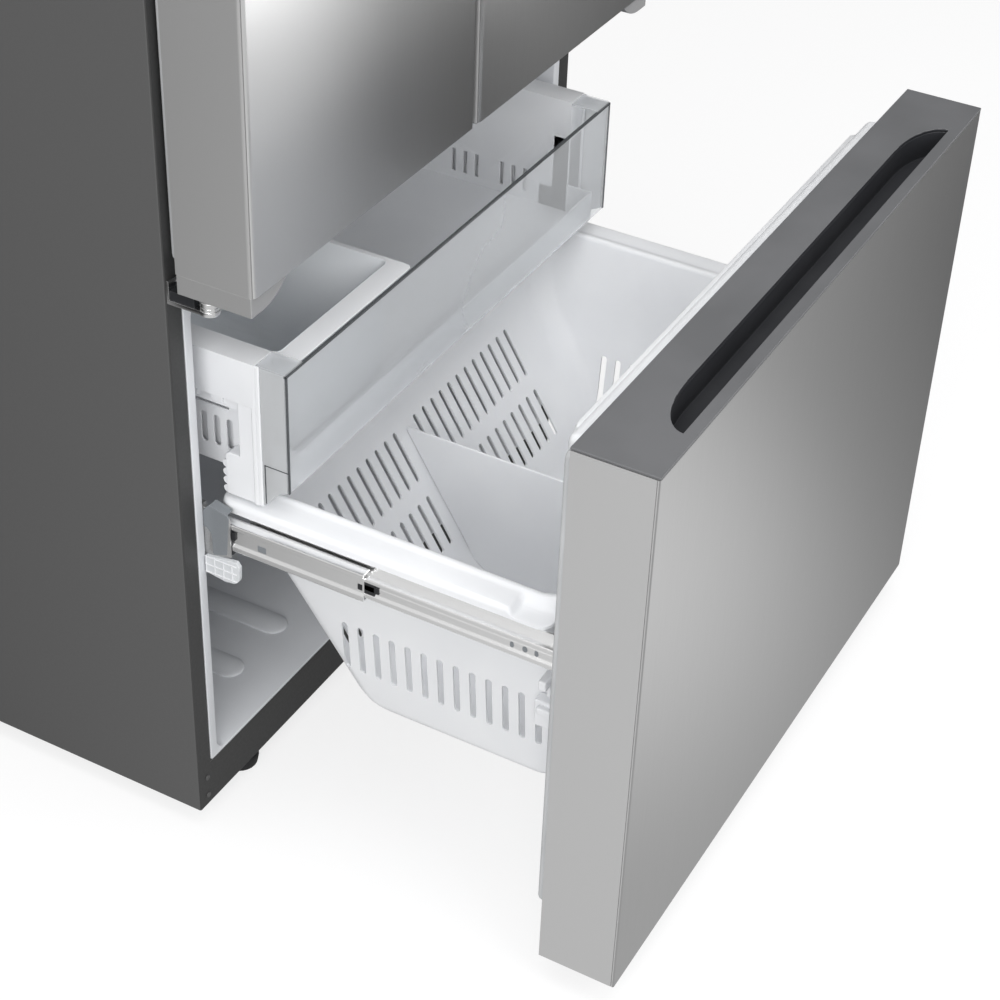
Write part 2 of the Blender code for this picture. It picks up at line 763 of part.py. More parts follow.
def make_door(side_name, side):
    """One door: wrapped skin, insulated core with its inner liner, end caps, gasket and bins."""
    body = side_name + "_door"
    x0, x1 = mirrored(DOOR_GAP, HALF - 0.0005, side)
    skin = prism(
        side_name + "_door_skin",
        door_outline(x0, x1, 0.0),
        "XY",
        DOOR_LOW,
        DOOR_HIGH,
        "brushed_steel",
        body,
    )
    inner = door_outline(x0, x1, SHEET)
    inner = [(x, y + (REACH if y > PIN_Y else 0.0)) for x, y in inner]
    hollow = prism(
        side_name + "_skin_hollow", inner, "XY", DOOR_LOW - REACH, DOOR_HIGH + REACH, None, body
    )
    cut(skin, hollow)

    core = prism(
        side_name + "_door_core",
        door_outline(x0, x1, SHEET + GAP),
        "XY",
        DOOR_LOW + GAP,
        DOOR_HIGH - GAP,
        "white_plastic",
        body,
    )
    free_edge = 0.052 if side < 0 else 0.040
    d0, d1 = mirrored(free_edge, 0.395, side)
    dike = box(
        side_name + "_door_dike", (d0, -0.020, 0.826), (d1, 0.022, FRIDGE_TOP - 0.022), None, body
    )
    soften(dike, 0.010)
    dish = box(
        side_name + "_door_dish",
        (d0 + 0.020, -0.004, 0.850),
        (d1 - 0.020, 0.022 + REACH, FRIDGE_TOP - 0.046),
        None,
        body,
    )
    join(core, dike)
    cut(core, dish)

    pin = (side * PIN_X, PIN_Y)
    outer = side * (HALF - 0.0015)
    free_end = side * (DOOR_GAP + 0.001)
    curve = [
        (side * x, z) for x, z in arc((0.434, BOSS_LOW + BOSS_ROUND), BOSS_ROUND, -138.6, -90, 5)
    ]
    outline = [(free_end, DOOR_LOW - GAP), (free_end, CAP_LOW)] + curve
    outline += [(outer, BOSS_LOW), (outer, DOOR_LOW - GAP)]
    bottom = prism(
        side_name + "_door_bottom_cap", outline, "XZ", -0.1075, -0.0165, "grey_plastic", body
    )
    socket = cylinder(
        side_name + "_pin_socket", (*pin, BOSS_LOW), "Z", PIN_RADIUS + 0.0006, 0.0300, None, body
    )
    cut(bottom, socket)
    top = prism(
        side_name + "_door_top_cap",
        door_outline(x0 + 0.0005, x1 - 0.0005, 0.0004),
        "XY",
        DOOR_HIGH + GAP,
        DOOR_TOP,
        "dark_plastic",
        body,
    )
    top_socket = cylinder(
        side_name + "_top_socket", (*pin, DOOR_TOP), "Z", 0.0056, 0.0160, None, body
    )
    cut(top, top_socket)

    seal_back, seal_front = -0.0015, DOOR_BACK + GAP
    g0, g1 = mirrored(0.0085, 0.4485, side)
    z0, z1 = DOOR_LOW + 0.007, DOOR_HIGH - 0.010
    seal = box(
        side_name + "_door_gasket", (g0, seal_front, z0), (g1, seal_back, z1), "gasket_rubber", body
    )
    width = 0.015
    hole = box(
        side_name + "_gasket_hole",
        (g0 + width, -REACH, z0 + width),
        (g1 - width, REACH, z1 - width),
        None,
        body,
    )
    cut(seal, hole)

    b0, b1 = mirrored(free_edge + 0.012, 0.385, side)
    for level, low, depth in (("upper", 1.360, 0.085), ("lower", 0.960, 0.095)):
        tub(
            f"{side_name}_door_bin_{level}",
            (b0, b1, 0.0228, 0.0228 + depth),
            (b0 + 0.004, b1 - 0.004, 0.0228, 0.0200 + depth),
            low,
            low + 0.105,
            "clear_plastic",
            body,
            wall=0.0025,
            rounding=0.010,
        )


def make_mullion():
    """The flap on the left door that turns behind both gaskets when the doors are shut."""
    half_thick, near, far = 0.0065, 0.0065, 0.068
    low, high = FRIDGE_FLOOR + 0.020, FRIDGE_TOP - 0.020
    flap = box(
        "mullion_flap",
        (FLAP_X - half_thick, FLAP_Y + near, low),
        (FLAP_X + half_thick, FLAP_Y + far, high),
        "white_plastic",
        "mullion",
    )
    soften(flap, 0.003, 1)


# ---------------------------------------------------------------- freezer drawer

POCKET_HALF = 0.375
POCKET_STRAIGHT = 0.290  # half the length of the pocket's straight back
POCKET_FRONT = SLAB_FRONT + 0.014
POCKET_DEPTH = 0.036
POCKET_LOW = SLAB_HIGH - 0.036


def pocket_outline(grow=0.0):
    """The grip pocket from above: a straight front and back, and quarter ellipses at its ends."""
    front = POCKET_FRONT - grow
    deep = POCKET_DEPTH + 2 * grow
    end = POCKET_HALF + grow - POCKET_STRAIGHT
    left = []
    for x, y in arc((0.0, 0.0), 1.0, 90, 180, 6):
        left.append((-POCKET_STRAIGHT + end * x, front + deep * y))
    right = [(-x, y) for x, y in reversed(left)]
    return right + left


def make_drawer_front():
    """The drawer's front: wrapped skin, grip cap, bottom cap, core with inner liner, and gasket."""
    body = "freezer_drawer"
    skin = box(
        "drawer_skin",
        (-HALF, SLAB_FRONT, SLAB_LOW),
        (HALF, SLAB_BACK, SLAB_HIGH - 0.004),
        "brushed_steel",
        body,
    )
    hollow = box(
        "drawer_hollow",
        (-HALF + SHEET, SLAB_FRONT + SHEET, SLAB_LOW - REACH),
        (HALF - SHEET, SLAB_BACK + REACH, SLAB_HIGH + REACH),
        None,
        body,
    )
    cut(skin, hollow)

    edge = HALF - SHEET - GAP
    front = SLAB_FRONT + SHEET + GAP
    cap_low = SLAB_HIGH - 0.018
    cap = box(
        "drawer_handle_cap",
        (-edge, front, cap_low),
        (edge, SLAB_BACK - GAP, SLAB_HIGH - 0.004),
        "dark_plastic",
        body,
    )
    rim = box(
        "cap_rim",
        (-HALF, SLAB_FRONT, SLAB_HIGH - 0.0036),
        (HALF, SLAB_BACK, SLAB_HIGH),
        None,
        body,
    )
    lift = box(
        "cap_lift",
        (-edge + 0.001, front + 0.001, SLAB_HIGH - 0.006),
        (edge - 0.001, SLAB_BACK - 0.002, SLAB_HIGH - 0.002),
        None,
        body,
    )
    well = prism(
        "pocket_well", pocket_outline(0.003), "XY", POCKET_LOW - 0.003, SLAB_HIGH - 0.002, None, body
    )
    pocket = prism(
        "pocket", pocket_outline(), "XY", POCKET_LOW, SLAB_HIGH + REACH, None, body
    )
    join(cap, lift, rim, well)
    cut(cap, pocket)

    box(
        "drawer_bottom_cap",
        (-edge, front, SLAB_LOW + 0.001),
        (edge, SLAB_BACK - GAP, SLAB_LOW + 0.014),
        "dark_plastic",
        body,
    )
    core = box(
        "drawer_core",
        (-edge, front, SLAB_LOW + 0.0145),
        (edge, SLAB_BACK - GAP, cap_low - GAP),
        "white_plastic",
        body,
    )
    dike = box(
        "drawer_dike", (-0.376, SLAB_BACK - 0.01, 0.100), (0.376, SLAB_BACK + 0.040, 0.700), None, body
    )
    soften(dike, 0.012)
    recess = prism(
        "core_recess", pocket_outline(0.0035), "XY", POCKET_LOW - 0.0035, SLAB_HIGH + REACH, None, body
    )
    join(core, dike)
    cut(core, recess)
    for side_name, side in SIDES.items():
        x0, x1 = mirrored(0.4087, 0.4280, side)
        niche = box(
            "bracket_niche_" + side_name,
            (x0, SLAB_BACK - 0.036, 0.320),
            (x1, SLAB_BACK + REACH, 0.456),
            None,
            body,
        )
        cut(core, niche)

    g_half, low, high, width = 0.446, 0.079, 0.7180, 0.015
    seal = box(
        "drawer_gasket",
        (-g_half, SLAB_BACK, low),
        (g_half, SLAB_BACK + 0.0130, high),
        "gasket_rubber",
        body,
    )
    hole = box(
        "drawer_gasket_hole",
        (-g_half + width, SLAB_BACK - REACH, low + width),
        (g_half - width, SLAB_BACK + REACH, high - width),
        None,
        body,
    )
    cut(seal, hole)


BASKET_FRONT = SLAB_BACK + 0.0425
BASKET_RIM = 0.450
BASKET_LOW = 0.162
BASKET_TOP_BACK, BASKET_LOW_BACK = -0.019, -0.142


def back_wall_y(height):
    """Where the basket's sloping back wall is at a height."""
    share = (height - BASKET_LOW) / (BASKET_RIM - BASKET_LOW)
    return BASKET_LOW_BACK + share * (BASKET_TOP_BACK - BASKET_LOW_BACK)


def make_basket():
    """The deep freezer basket with its rim and vent slots, and its divider."""
    body = "freezer_drawer"
    top_half, low_half = 0.353, 0.326
    basket = tub(
        "freezer_basket",
        (-top_half, top_half, BASKET_FRONT, BASKET_TOP_BACK),
        (-low_half, low_half, BASKET_FRONT + 0.006, BASKET_LOW_BACK),
        BASKET_LOW,
        BASKET_RIM,
        "white_plastic",
        body,
        rounding=0.030,
    )
    rim_half, rim_back = 0.395, BASKET_TOP_BACK + 0.012
    rim_low, rim_high = 0.4365, 0.4525
    rim = box(
        "basket_rim",
        (-rim_half, BASKET_FRONT, rim_low),
        (rim_half, rim_back, rim_high),
        None,
        body,
    )
    under = box(
        "rim_under",
        (-rim_half + PLASTIC, BASKET_FRONT - REACH, rim_low - REACH),
        (rim_half - PLASTIC, rim_back - PLASTIC, rim_high - PLASTIC),
        None,
        body,
    )
    rim_mouth = box(
        "rim_mouth",
        (-top_half + 0.0015, BASKET_FRONT + 0.0015, 0.4),
        (top_half - 0.0015, BASKET_TOP_BACK - 0.0015, 0.5),
        None,
        body,
    )
    cut(rim, under, rim_mouth)
    join(basket, rim)
    slots = []
    width = 0.0085
    for number in range(13):
        y0 = -0.135 - number * SLOT_PITCH - width
        slots.append(((-0.40, y0, 0.209), (-0.30, y0 + width, 0.284)))
        slots.append(((0.30, y0, 0.209), (0.40, y0 + width, 0.284)))
    for column in range(12):
        for side in (-1, 1):
            centre = DIVIDER_X + side * (0.025 + column * SLOT_PITCH)
            for low in (0.205, 0.285):
                y = back_wall_y(low + 0.03)
                slots.append(
                    ((centre - 0.003, y - 0.04, low), (centre + 0.003, y + 0.04, low + 0.060))
                )
    cut(basket, boxes("basket_slots", slots, body))

    top = 0.345
    outline = [
        (BASKET_FRONT + 0.012, 0.200),
        (back_wall_y(0.200) - 0.036, 0.200),
        (back_wall_y(top) - 0.006, top),
        (BASKET_FRONT + 0.012, top),
    ]
    thick = PLASTIC / 2
    prism(
        "basket_divider", outline, "YZ", DIVIDER_X - thick, DIVIDER_X + thick, "white_plastic", body
    )


def make_slides(side_name, side):
    """One telescopic slide: cabinet member with its bracket, middle member and drawer member."""

    def channel(name, outer_x, inner_x, low, high, wall, y0, y1, slot, body):
        a, b = side * outer_x, side * inner_x
        web = side * (outer_x - wall)
        outline = [(b, high), (a, high), (a, low), (b, low)]
        outline += [(b, low + wall), (web, low + wall), (web, high - wall), (b, high - wall)]
        return prism(name, outline, "XZ", y0, y1, slot, body)

    rail = channel(
        "slide_rail_" + side_name,
        0.4115,
        0.4005,
        RAIL_MID_Z - 0.0212,
        RAIL_MID_Z + 0.0212,
        0.0016,
        0.004,
        0.430,
        "galvanised_steel",
        "cabinet",
    )
    x0, x1 = mirrored(0.4097, 0.4115, side)
    outline = [(0.070, 0.380), (0.070, 0.4460), (BRACKET_FRONT + 0.006, 0.4460)]
    outline += [(BRACKET_FRONT, 0.4420), (BRACKET_FRONT, 0.3870), (-0.0120, 0.3800)]
    bracket = prism("rail_bracket_" + side_name, outline, "YZ", x0, x1, None, "cabinet")
    t0, t1 = mirrored(0.4000, 0.4110, side)
    shoulder = box(
        "rail_shoulder_" + side_name,
        (t0, 0.004, RAIL_MID_Z + 0.0200),
        (t1, 0.040, 0.446),
        None,
        "cabinet",
    )
    join(rail, bracket, shoulder)

    channel(
        "slide_middle_" + side_name,
        0.4092,
        0.3955,
        RAIL_MID_Z - 0.0190,
        RAIL_MID_Z + 0.0190,
        0.0016,
        -0.2105,
        0.190,
        "zinc_steel",
        "slide_" + side_name,
    )

    runner = side * 0.4068, side * 0.4045
    plate = side * 0.3925, side * 0.3905
    shelf_low, shelf_high = RAIL_MID_Z - 0.0008, RAIL_MID_Z + 0.0012
    outline = [
        (runner[0], RAIL_MID_Z - 0.014),
        (runner[1], RAIL_MID_Z - 0.014),
        (runner[1], shelf_low),
        (plate[1], shelf_low),
        (plate[1], 0.4350),
        (plate[0], 0.4350),
        (plate[0], shelf_high),
        (runner[1], shelf_high),
        (runner[1], RAIL_MID_Z + 0.014),
        (runner[0], RAIL_MID_Z + 0.014),
    ]
    prism(
        "slide_inner_" + side_name,
        outline,
        "XZ",
        SLAB_BACK + 0.0003,
        -0.050,
        "zinc_steel",
        "freezer_drawer",
    )


def make_tray():
    """The upper freezer tray: white body with a broad rim, clear front, and the ice bin in it."""
    body = "freezer_tray"
    wall_half, rim_half = 0.355, 0.3865
    front, wing_back, back = -0.0945, TRAY_WING_BACK, 0.360
    low, skirt_low, top = 0.478, 0.586, 0.643
    tray = box(
        "tray_body", (-wall_half, front, low), (wall_half, back, 0.520), "white_plastic", body
    )
    walls = box(
        "tray_walls", (-wall_half, wing_back, 0.510), (wall_half, back, top - 0.001), None, body
    )
    rim = box("tray_rim", (-rim_half, wing_back, skirt_low), (rim_half, back, top), None, body)
    spans = []
    for side in SIDES.values():
        x0, x1 = mirrored(wall_half + 0.0002, rim_half - PLASTIC, side)
        start = (x0, wing_back + PLASTIC, skirt_low - 0.001)
        spans.append((start, (x1, back - PLASTIC, top - PLASTIC)))
    under = boxes("tray_rim_under", spans, body)
    room = box(
        "tray_room",
        (-wall_half + PLASTIC, front + PLASTIC, low + PLASTIC),
        (wall_half - PLASTIC, back - PLASTIC, top + REACH),
        None,
        body,
    )
    open_front = box(
        "tray_open_front",
        (-wall_half + PLASTIC, front - REACH, 0.520 - 0.0005),
        (wall_half - PLASTIC, 0.0, top + REACH),
        None,
        body,
    )
    join(tray, walls, rim)
    cut(tray, under, room, open_front)
    for side_name, side in SIDES.items():
        inner = wall_half - PLASTIC / 2
        outline = [(inner, wing_back), (rim_half, wing_back)]
        outline += [(rim_half, wing_back + 0.005), (inner, TRAY_CORNER_BACK)]
        corner = prism(
            "tray_corner_" + side_name,
            [(side * x, y) for x, y in outline],
            "XY",
            0.455,
            skirt_low + 0.001,
            None,
            body,
        )
        join(tray, corner)
    slots = []
    for group in range(4):
        for number in (-1, 0, 1):
            y0 = 0.0215 + group * 0.0755 + number * 0.018
            slots.append(((-0.40, y0, 0.493), (0.40, y0 + 0.006, 0.527)))
    cut(tray, boxes("tray_slots", slots, body))

    panel_half, panel_front = 0.384, -0.099
    panel = box(
        "tray_front",
        (-panel_half, panel_front, 0.484),
        (panel_half, wing_back - GAP, 0.6405),
        "clear_plastic",
        body,
    )
    behind = box(
        "tray_front_inside",
        (-panel_half + PLASTIC, panel_front + PLASTIC, low - REACH),
        (panel_half - PLASTIC, REACH, top + REACH),
        None,
        body,
    )
    cut(panel, behind)

    bin_x0, bin_x1 = -wall_half + PLASTIC + 0.001, -0.115
    tub(
        "ice_bin",
        (bin_x0, bin_x1, -0.055, 0.250),
        (bin_x0 + 0.004, bin_x1 - 0.004, -0.052, 0.246),
        low + PLASTIC + 0.0005,
        0.640,
        "white_plastic",
        body,
        wall=0.0025,
        rounding=0.012,
    )


make_cabinet_shell()
make_liners()
make_insulation()
make_back()
make_base()
make_machine()
make_cooling()
make_fridge_fittings()
for side_name, side in SIDES.items():
    make_hinges(side_name, side)
    make_door(side_name, side)
    make_slides(side_name, side)
make_mullion()
make_drawer_front()
make_basket()
make_tray()
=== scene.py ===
"""How the french door refrigerator looks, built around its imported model.

Places are in the cabinet's own frame, as in the design: x = 0 is the middle of the cabinet, y = 0 is
the plane of its front flanges with +Y towards the back, and z = 0 is the lower edge of its side
panels. The shell's own box says where that frame lies in the world. Lengths are in metres.
"""

import json
import math

import bmesh
import bpy
from mathutils import Matrix, Vector

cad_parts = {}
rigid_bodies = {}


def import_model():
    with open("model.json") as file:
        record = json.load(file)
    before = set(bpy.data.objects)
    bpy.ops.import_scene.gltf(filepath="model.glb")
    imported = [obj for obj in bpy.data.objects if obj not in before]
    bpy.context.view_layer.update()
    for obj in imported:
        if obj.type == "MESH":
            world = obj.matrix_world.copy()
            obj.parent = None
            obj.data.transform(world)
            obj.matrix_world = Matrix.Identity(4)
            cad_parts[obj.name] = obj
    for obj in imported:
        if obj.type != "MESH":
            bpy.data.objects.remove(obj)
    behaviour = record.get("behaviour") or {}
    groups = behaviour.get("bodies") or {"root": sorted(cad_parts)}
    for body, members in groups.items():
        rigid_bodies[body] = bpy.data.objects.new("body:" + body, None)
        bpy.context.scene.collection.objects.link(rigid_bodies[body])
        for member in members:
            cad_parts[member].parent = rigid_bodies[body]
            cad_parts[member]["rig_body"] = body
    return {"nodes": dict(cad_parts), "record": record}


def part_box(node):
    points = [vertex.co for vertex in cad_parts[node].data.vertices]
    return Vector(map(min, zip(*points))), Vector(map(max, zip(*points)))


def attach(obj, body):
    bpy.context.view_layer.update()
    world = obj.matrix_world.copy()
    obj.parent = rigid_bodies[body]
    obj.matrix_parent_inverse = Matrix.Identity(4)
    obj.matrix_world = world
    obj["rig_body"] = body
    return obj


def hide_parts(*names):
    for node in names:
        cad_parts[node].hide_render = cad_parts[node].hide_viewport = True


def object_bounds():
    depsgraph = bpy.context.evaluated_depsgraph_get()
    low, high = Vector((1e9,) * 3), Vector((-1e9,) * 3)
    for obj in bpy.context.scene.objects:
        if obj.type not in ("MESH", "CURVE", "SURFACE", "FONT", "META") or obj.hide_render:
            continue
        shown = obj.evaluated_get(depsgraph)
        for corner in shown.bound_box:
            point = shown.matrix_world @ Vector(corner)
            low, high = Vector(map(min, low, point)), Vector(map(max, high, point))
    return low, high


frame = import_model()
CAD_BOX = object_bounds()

SHELL_LOW, SHELL_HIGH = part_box("cabinet_shell")
ORIGIN = Vector((0.0, SHELL_LOW.y, SHELL_LOW.z))  # the cabinet frame's place in the world
HALF = SHELL_HIGH.x
SIDES = {"left": -1, "right": 1}
NODE_SLOTS = {part["node"]: part["material_slot"] for part in frame["record"]["subparts"]}


def span(node):
    """A node's lowest and highest corners in the cabinet's frame."""
    low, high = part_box(node)
    return low - ORIGIN, high - ORIGIN


def mirrored(x0, x1, side):
    return sorted((side * x0, side * x1))


# ---------------------------------------------------------------- camera, stage and light

CAMERA_AT = Vector((-2.0012, -1.2172, 1.9496))
CAMERA_AZIMUTH = math.radians(-62.176)
CAMERA_HEIGHT = math.radians(36.8078)
CAMERA_ROLL = math.radians(2.2784)
CAMERA_LENS = 79.04


def make_camera():
    """A long lens that looks down at the open drawer from the front left, slightly rolled."""
    data = bpy.data.cameras.new("camera")
    data.lens = CAMERA_LENS
    data.sensor_width = 36.0
    data.clip_start, data.clip_end = 0.05, 100.0
    camera = bpy.data.objects.new("camera", data)
    bpy.context.scene.collection.objects.link(camera)
    flat = math.cos(CAMERA_HEIGHT)
    back = Vector(
        (math.sin(CAMERA_AZIMUTH) * flat, -math.cos(CAMERA_AZIMUTH) * flat, math.sin(CAMERA_HEIGHT))
    )
    level = (-back).cross(Vector((0, 0, 1))).normalized()
    upright = level.cross(-back)
    right = math.cos(CAMERA_ROLL) * level + math.sin(CAMERA_ROLL) * upright
    up = math.cos(CAMERA_ROLL) * upright - math.sin(CAMERA_ROLL) * level
    turn = Matrix((right, up, back)).transposed()
    camera.matrix_world = Matrix.Translation(ORIGIN + CAMERA_AT) @ turn.to_4x4()
    bpy.context.scene.camera = camera


def area_light(name, at, target, size, power):
    data = bpy.data.lights.new(name, "AREA")
    data.shape = "RECTANGLE"
    data.size, data.size_y = size
    data.energy = power
    lamp = bpy.data.objects.new(name, data)
    bpy.context.scene.collection.objects.link(lamp)
    lamp.location = at
    lamp.rotation_euler = (Vector(target) - Vector(at)).to_track_quat("-Z", "Y").to_euler()
    lamp.visible_camera = False
    return lamp


def new_node(tree, kind, inputs=None, **settings):
    """A shader node with its settings. Each input takes a value, or a link where it is given a socket."""
    node = tree.nodes.new("ShaderNode" + kind)
    for setting, value in settings.items():
        setattr(node, setting, value)
    for socket, value in (inputs or {}).items():
        if isinstance(value, bpy.types.NodeSocket):
            tree.links.new(value, node.inputs[socket])
        else:
            node.inputs[socket].default_value = value
    return node


def ramped(tree, source, start, end, low, high, shape="SMOOTHSTEP"):
    """A value that runs from low to high as its source goes from start to end."""
    limits = {"Value": source, "From Min": start, "From Max": end, "To Min": low, "To Max": high}
    return new_node(tree, "MapRange", limits, interpolation_type=shape).outputs["Result"]


def graded(tree, place, along, start, end, low, high):
    """A value that runs from low to high as the place goes along a direction from start to end."""
    dot = new_node(tree, "VectorMath", {0: place, 1: along}, operation="DOT_PRODUCT")
    return ramped(tree, dot.outputs["Value"], start, end, low, high)


def reckoned(tree, operation, first, second):
    return new_node(tree, "Math", {0: first, 1: second}, operation=operation).outputs["Value"]


def show_camera(tree, seen, others, output):
    """Gives the camera one shader and all other rays another."""
    to_camera = new_node(tree, "LightPath").outputs["Is Camera Ray"]
    either = new_node(tree, "MixShader", {"Fac": to_camera, 1: others, 2: seen})
    tree.links.new(either.outputs["Shader"], tree.nodes[output].inputs["Surface"])


def make_floor():
    """A white floor. All but the camera see a soft glow on its left and a bright pool in front."""
    shape = bmesh.new()
    bmesh.ops.create_grid(shape, x_segments=8, y_segments=8, size=30.0)
    mesh = bpy.data.meshes.new("floor")
    shape.to_mesh(mesh)
    shape.free()
    floor = bpy.data.objects.new("floor", mesh)
    bpy.context.scene.collection.objects.link(floor)
    floor.location.z = CAD_BOX[0].z
    material = bpy.data.materials.new("pale_floor")
    material.use_nodes = True
    tree = material.node_tree
    shader = tree.nodes["Principled BSDF"]
    shader.inputs["Base Color"].default_value = (0.93, 0.93, 0.935, 1.0)
    shader.inputs["Roughness"].default_value = 0.8
    place = new_node(tree, "TexCoord").outputs["Object"]
    across = graded(tree, place, (0.61, 0.79, 0.0), *GLOW_EDGE, GLOW_BRIGHT, GLOW_DARK)
    behind = graded(tree, place, (0.0, 1.0, 0.0), -0.2, 1.2, 1.0, GLOW_BEHIND)
    away = new_node(tree, "VectorMath", {0: place, 1: POOL_AT}, operation="DISTANCE").outputs["Value"]
    pool = ramped(tree, away, 0.15, POOL_RADIUS, POOL_BRIGHT, 0.0)
    bright = reckoned(tree, "ADD", reckoned(tree, "MULTIPLY", across, behind), pool)
    glow = new_node(tree, "Emission", {"Strength": bright}).outputs["Emission"]
    white = new_node(tree, "Emission", {"Strength": 1.06}).outputs["Emission"]
    mostly_white = new_node(tree, "MixShader", {"Fac": 0.30, 1: white, 2: shader.outputs["BSDF"]})
    show_camera(tree, mostly_white.outputs["Shader"], glow, "Material Output")
    mesh.materials.append(material)


GLOW_EDGE = (-0.85, 0.40)  # where the floor's glow starts to fall and where it ends
GLOW_BRIGHT, GLOW_DARK, GLOW_BEHIND = 0.60, 0.09, 0.28
POOL_AT, POOL_RADIUS, POOL_BRIGHT = (0.20, -1.35, 0.0), 0.80, 0.50  # a bright pool in front
SKY_LEFT, SKY_RIGHT = 0.64, 0.14


def make_stage():
    make_floor()
    world = bpy.data.worlds.new("studio")
    bpy.context.scene.world = world
    world.use_nodes = True
    tree = world.node_tree
    sky = tree.nodes["Background"]
    sky.inputs["Color"].default_value = (1.0, 1.0, 1.0, 1.0)
    place = new_node(tree, "TexCoord").outputs["Generated"]
    bright = graded(tree, place, (0.85, 0.35, -0.40), -0.6, 0.7, SKY_LEFT, SKY_RIGHT)
    tree.links.new(bright, sky.inputs["Strength"])
    white = new_node(tree, "Background", {"Color": (1.0, 1.0, 1.0, 1.0)}).outputs["Background"]
    show_camera(tree, white, sky.outputs["Background"], "World Output")

    area_light("key_left", (-4.2, -1.4, 2.6), (0.0, 0.0, 0.7), (3.0, 2.6), 112.0)
    area_light("top", (-0.2, -1.0, 4.6), (0.0, -0.3, 0.0), (3.2, 3.2), 74.0)
    area_light("edge_card", (1.75, -2.15, 0.42), (-0.4, -0.1, 1.2), (0.85, 0.80), 10.0)
    area_light("front_fill", (-0.9, -3.2, 2.6), (0.0, 0.0, 0.6), (2.4, 1.8), 38.0)
    bpy.context.scene.view_settings.view_transform = "Standard"


# ---------------------------------------------------------------- materials


def colour_of(grey_or_colour):
    if isinstance(grey_or_colour, (int, float)):
        return (grey_or_colour,) * 3 + (1.0,)
    return (*grey_or_colour, 1.0)


class Surface:
    """A procedural material: a Principled shader fed by noise in the piece's own coordinates."""

    def __init__(self, name, roughness=0.5, metallic=0.0, **sockets):
        self.material = bpy.data.materials.new(name)
        self.material.use_nodes = True
        self.tree = self.material.node_tree
        self.shader = self.tree.nodes["Principled BSDF"]
        self.shader.inputs["Roughness"].default_value = roughness
        self.shader.inputs["Metallic"].default_value = metallic
        for socket, value in sockets.items():
            self.shader.inputs[socket.replace("_", " ")].default_value = value
        self.place = new_node(self.tree, "TexCoord").outputs["Object"]

    def feed(self, source, socket):
        self.tree.links.new(source, self.shader.inputs[socket])

    def noise(self, scale, stretch=(1, 1, 1), detail=3.0, rough=0.55):
        """Noise of about scale cells a metre, stretched along an axis where its factor is small."""
        mapping = new_node(self.tree, "Mapping", {"Scale": stretch, "Vector": self.place})
        inputs = {"Scale": scale, "Detail": detail, "Roughness": rough, "Vector": mapping.outputs[0]}
        return new_node(self.tree, "TexNoise", inputs).outputs["Fac"]

    def colour(self, source, low, high):
        ramp = new_node(self.tree, "ValToRGB", {"Fac": source})
        for end, position, tone in zip(ramp.color_ramp.elements, (0.35, 0.65), (low, high)):
            end.position = position
            end.color = colour_of(tone)
        self.feed(ramp.outputs["Color"], "Base Color")

    def vary_roughness(self, source, low, high):
        self.feed(ramped(self.tree, source, 0.3, 0.7, low, high, "LINEAR"), "Roughness")

    def bump(self, source, depth, strength=1.0):
        inputs = {"Strength": strength, "Distance": depth, "Height": source}
        self.feed(new_node(self.tree, "Bump", inputs).outputs["Normal"], "Normal")

    def see_through(self, share, tint):
        """Lets a share of the light straight through. Given a socket, the share comes from that."""
        clear_way = new_node(self.tree, "BsdfTransparent", {"Color": colour_of(tint)})
        inputs = {"Fac": share, 1: self.shader.outputs["BSDF"], 2: clear_way.outputs["BSDF"]}
        mix = new_node(self.tree, "MixShader", inputs)
        self.tree.links.new(mix.outputs["Shader"], self.tree.nodes["Material Output"].inputs["Surface"])


MIX_FIRST, MIX_SECOND, MIX_RESULT = 6, 7, 2  # a mix node's sockets for colours


def brushed(name, low, high, rough_low, rough_high, along, painted_highlight=None):
    """Rolled stainless sheet with very fine brush lines along one axis.

    A painted highlight, if given, is (start, end, colour): from x = start the colour fades out towards x =
    end. It stands in for a reflection.
    """
    surface = Surface(name, metallic=1.0)
    fine = [1.0, 1.0, 1.0]
    fine["XYZ".index(along)] = 0.008
    lines = surface.noise(1900.0, fine, 2.0, 0.5)
    surface.colour(lines, low, high)
    surface.vary_roughness(surface.noise(240.0, detail=1.0), rough_low, rough_high)
    # Painted highlight: a lighter base colour graded along x, in place of a reflection.
    if painted_highlight:
        start, end, bright = painted_highlight
        share = graded(surface.tree, surface.place, (1, 0, 0), start, end, 0.85, 0.0)
        plain = surface.shader.inputs["Base Color"].links[0].from_socket
        colours = {"Factor": share, MIX_FIRST: plain, MIX_SECOND: colour_of(bright)}
        mix = new_node(surface.tree, "Mix", colours, data_type="RGBA")
        surface.feed(mix.outputs[MIX_RESULT], "Base Color")
    return surface.material


def moulded(name, low, high, rough_low, rough_high, grain=900.0, depth=0.00004, **sockets):
    """Injection-moulded plastic with a fine spark-eroded grain."""
    surface = Surface(name, **sockets)
    surface.colour(surface.noise(9.0, detail=2.0), low, high)
    surface.vary_roughness(surface.noise(22.0, detail=2.0), rough_low, rough_high)
    surface.bump(surface.noise(grain, detail=2.0), depth, 0.25)
    return surface.material


def painted(name, low, high, rough_low, rough_high, metallic=0.0):
    """Powder-painted steel with a very fine grain."""
    surface = Surface(name, metallic=metallic, Specular_IOR_Level=0.35)
    surface.colour(surface.noise(1500.0, detail=1.0), low, high)
    surface.vary_roughness(surface.noise(300.0, detail=1.0), rough_low, rough_high)
    return surface.material


def plated(name, low, high, rough_low, rough_high, along=None):
    """Zinc-plated or galvanised sheet, with faint drawing lines where along is given."""
    surface = Surface(name, metallic=1.0)
    stretch = [1.0, 1.0, 1.0]
    if along:
        stretch["XYZ".index(along)] = 0.01
    grain = surface.noise(1200.0, stretch, 2.0, 0.5)
    surface.colour(grain, low, high)
    surface.vary_roughness(surface.noise(160.0, detail=1.0), rough_low, rough_high)
    return surface.material


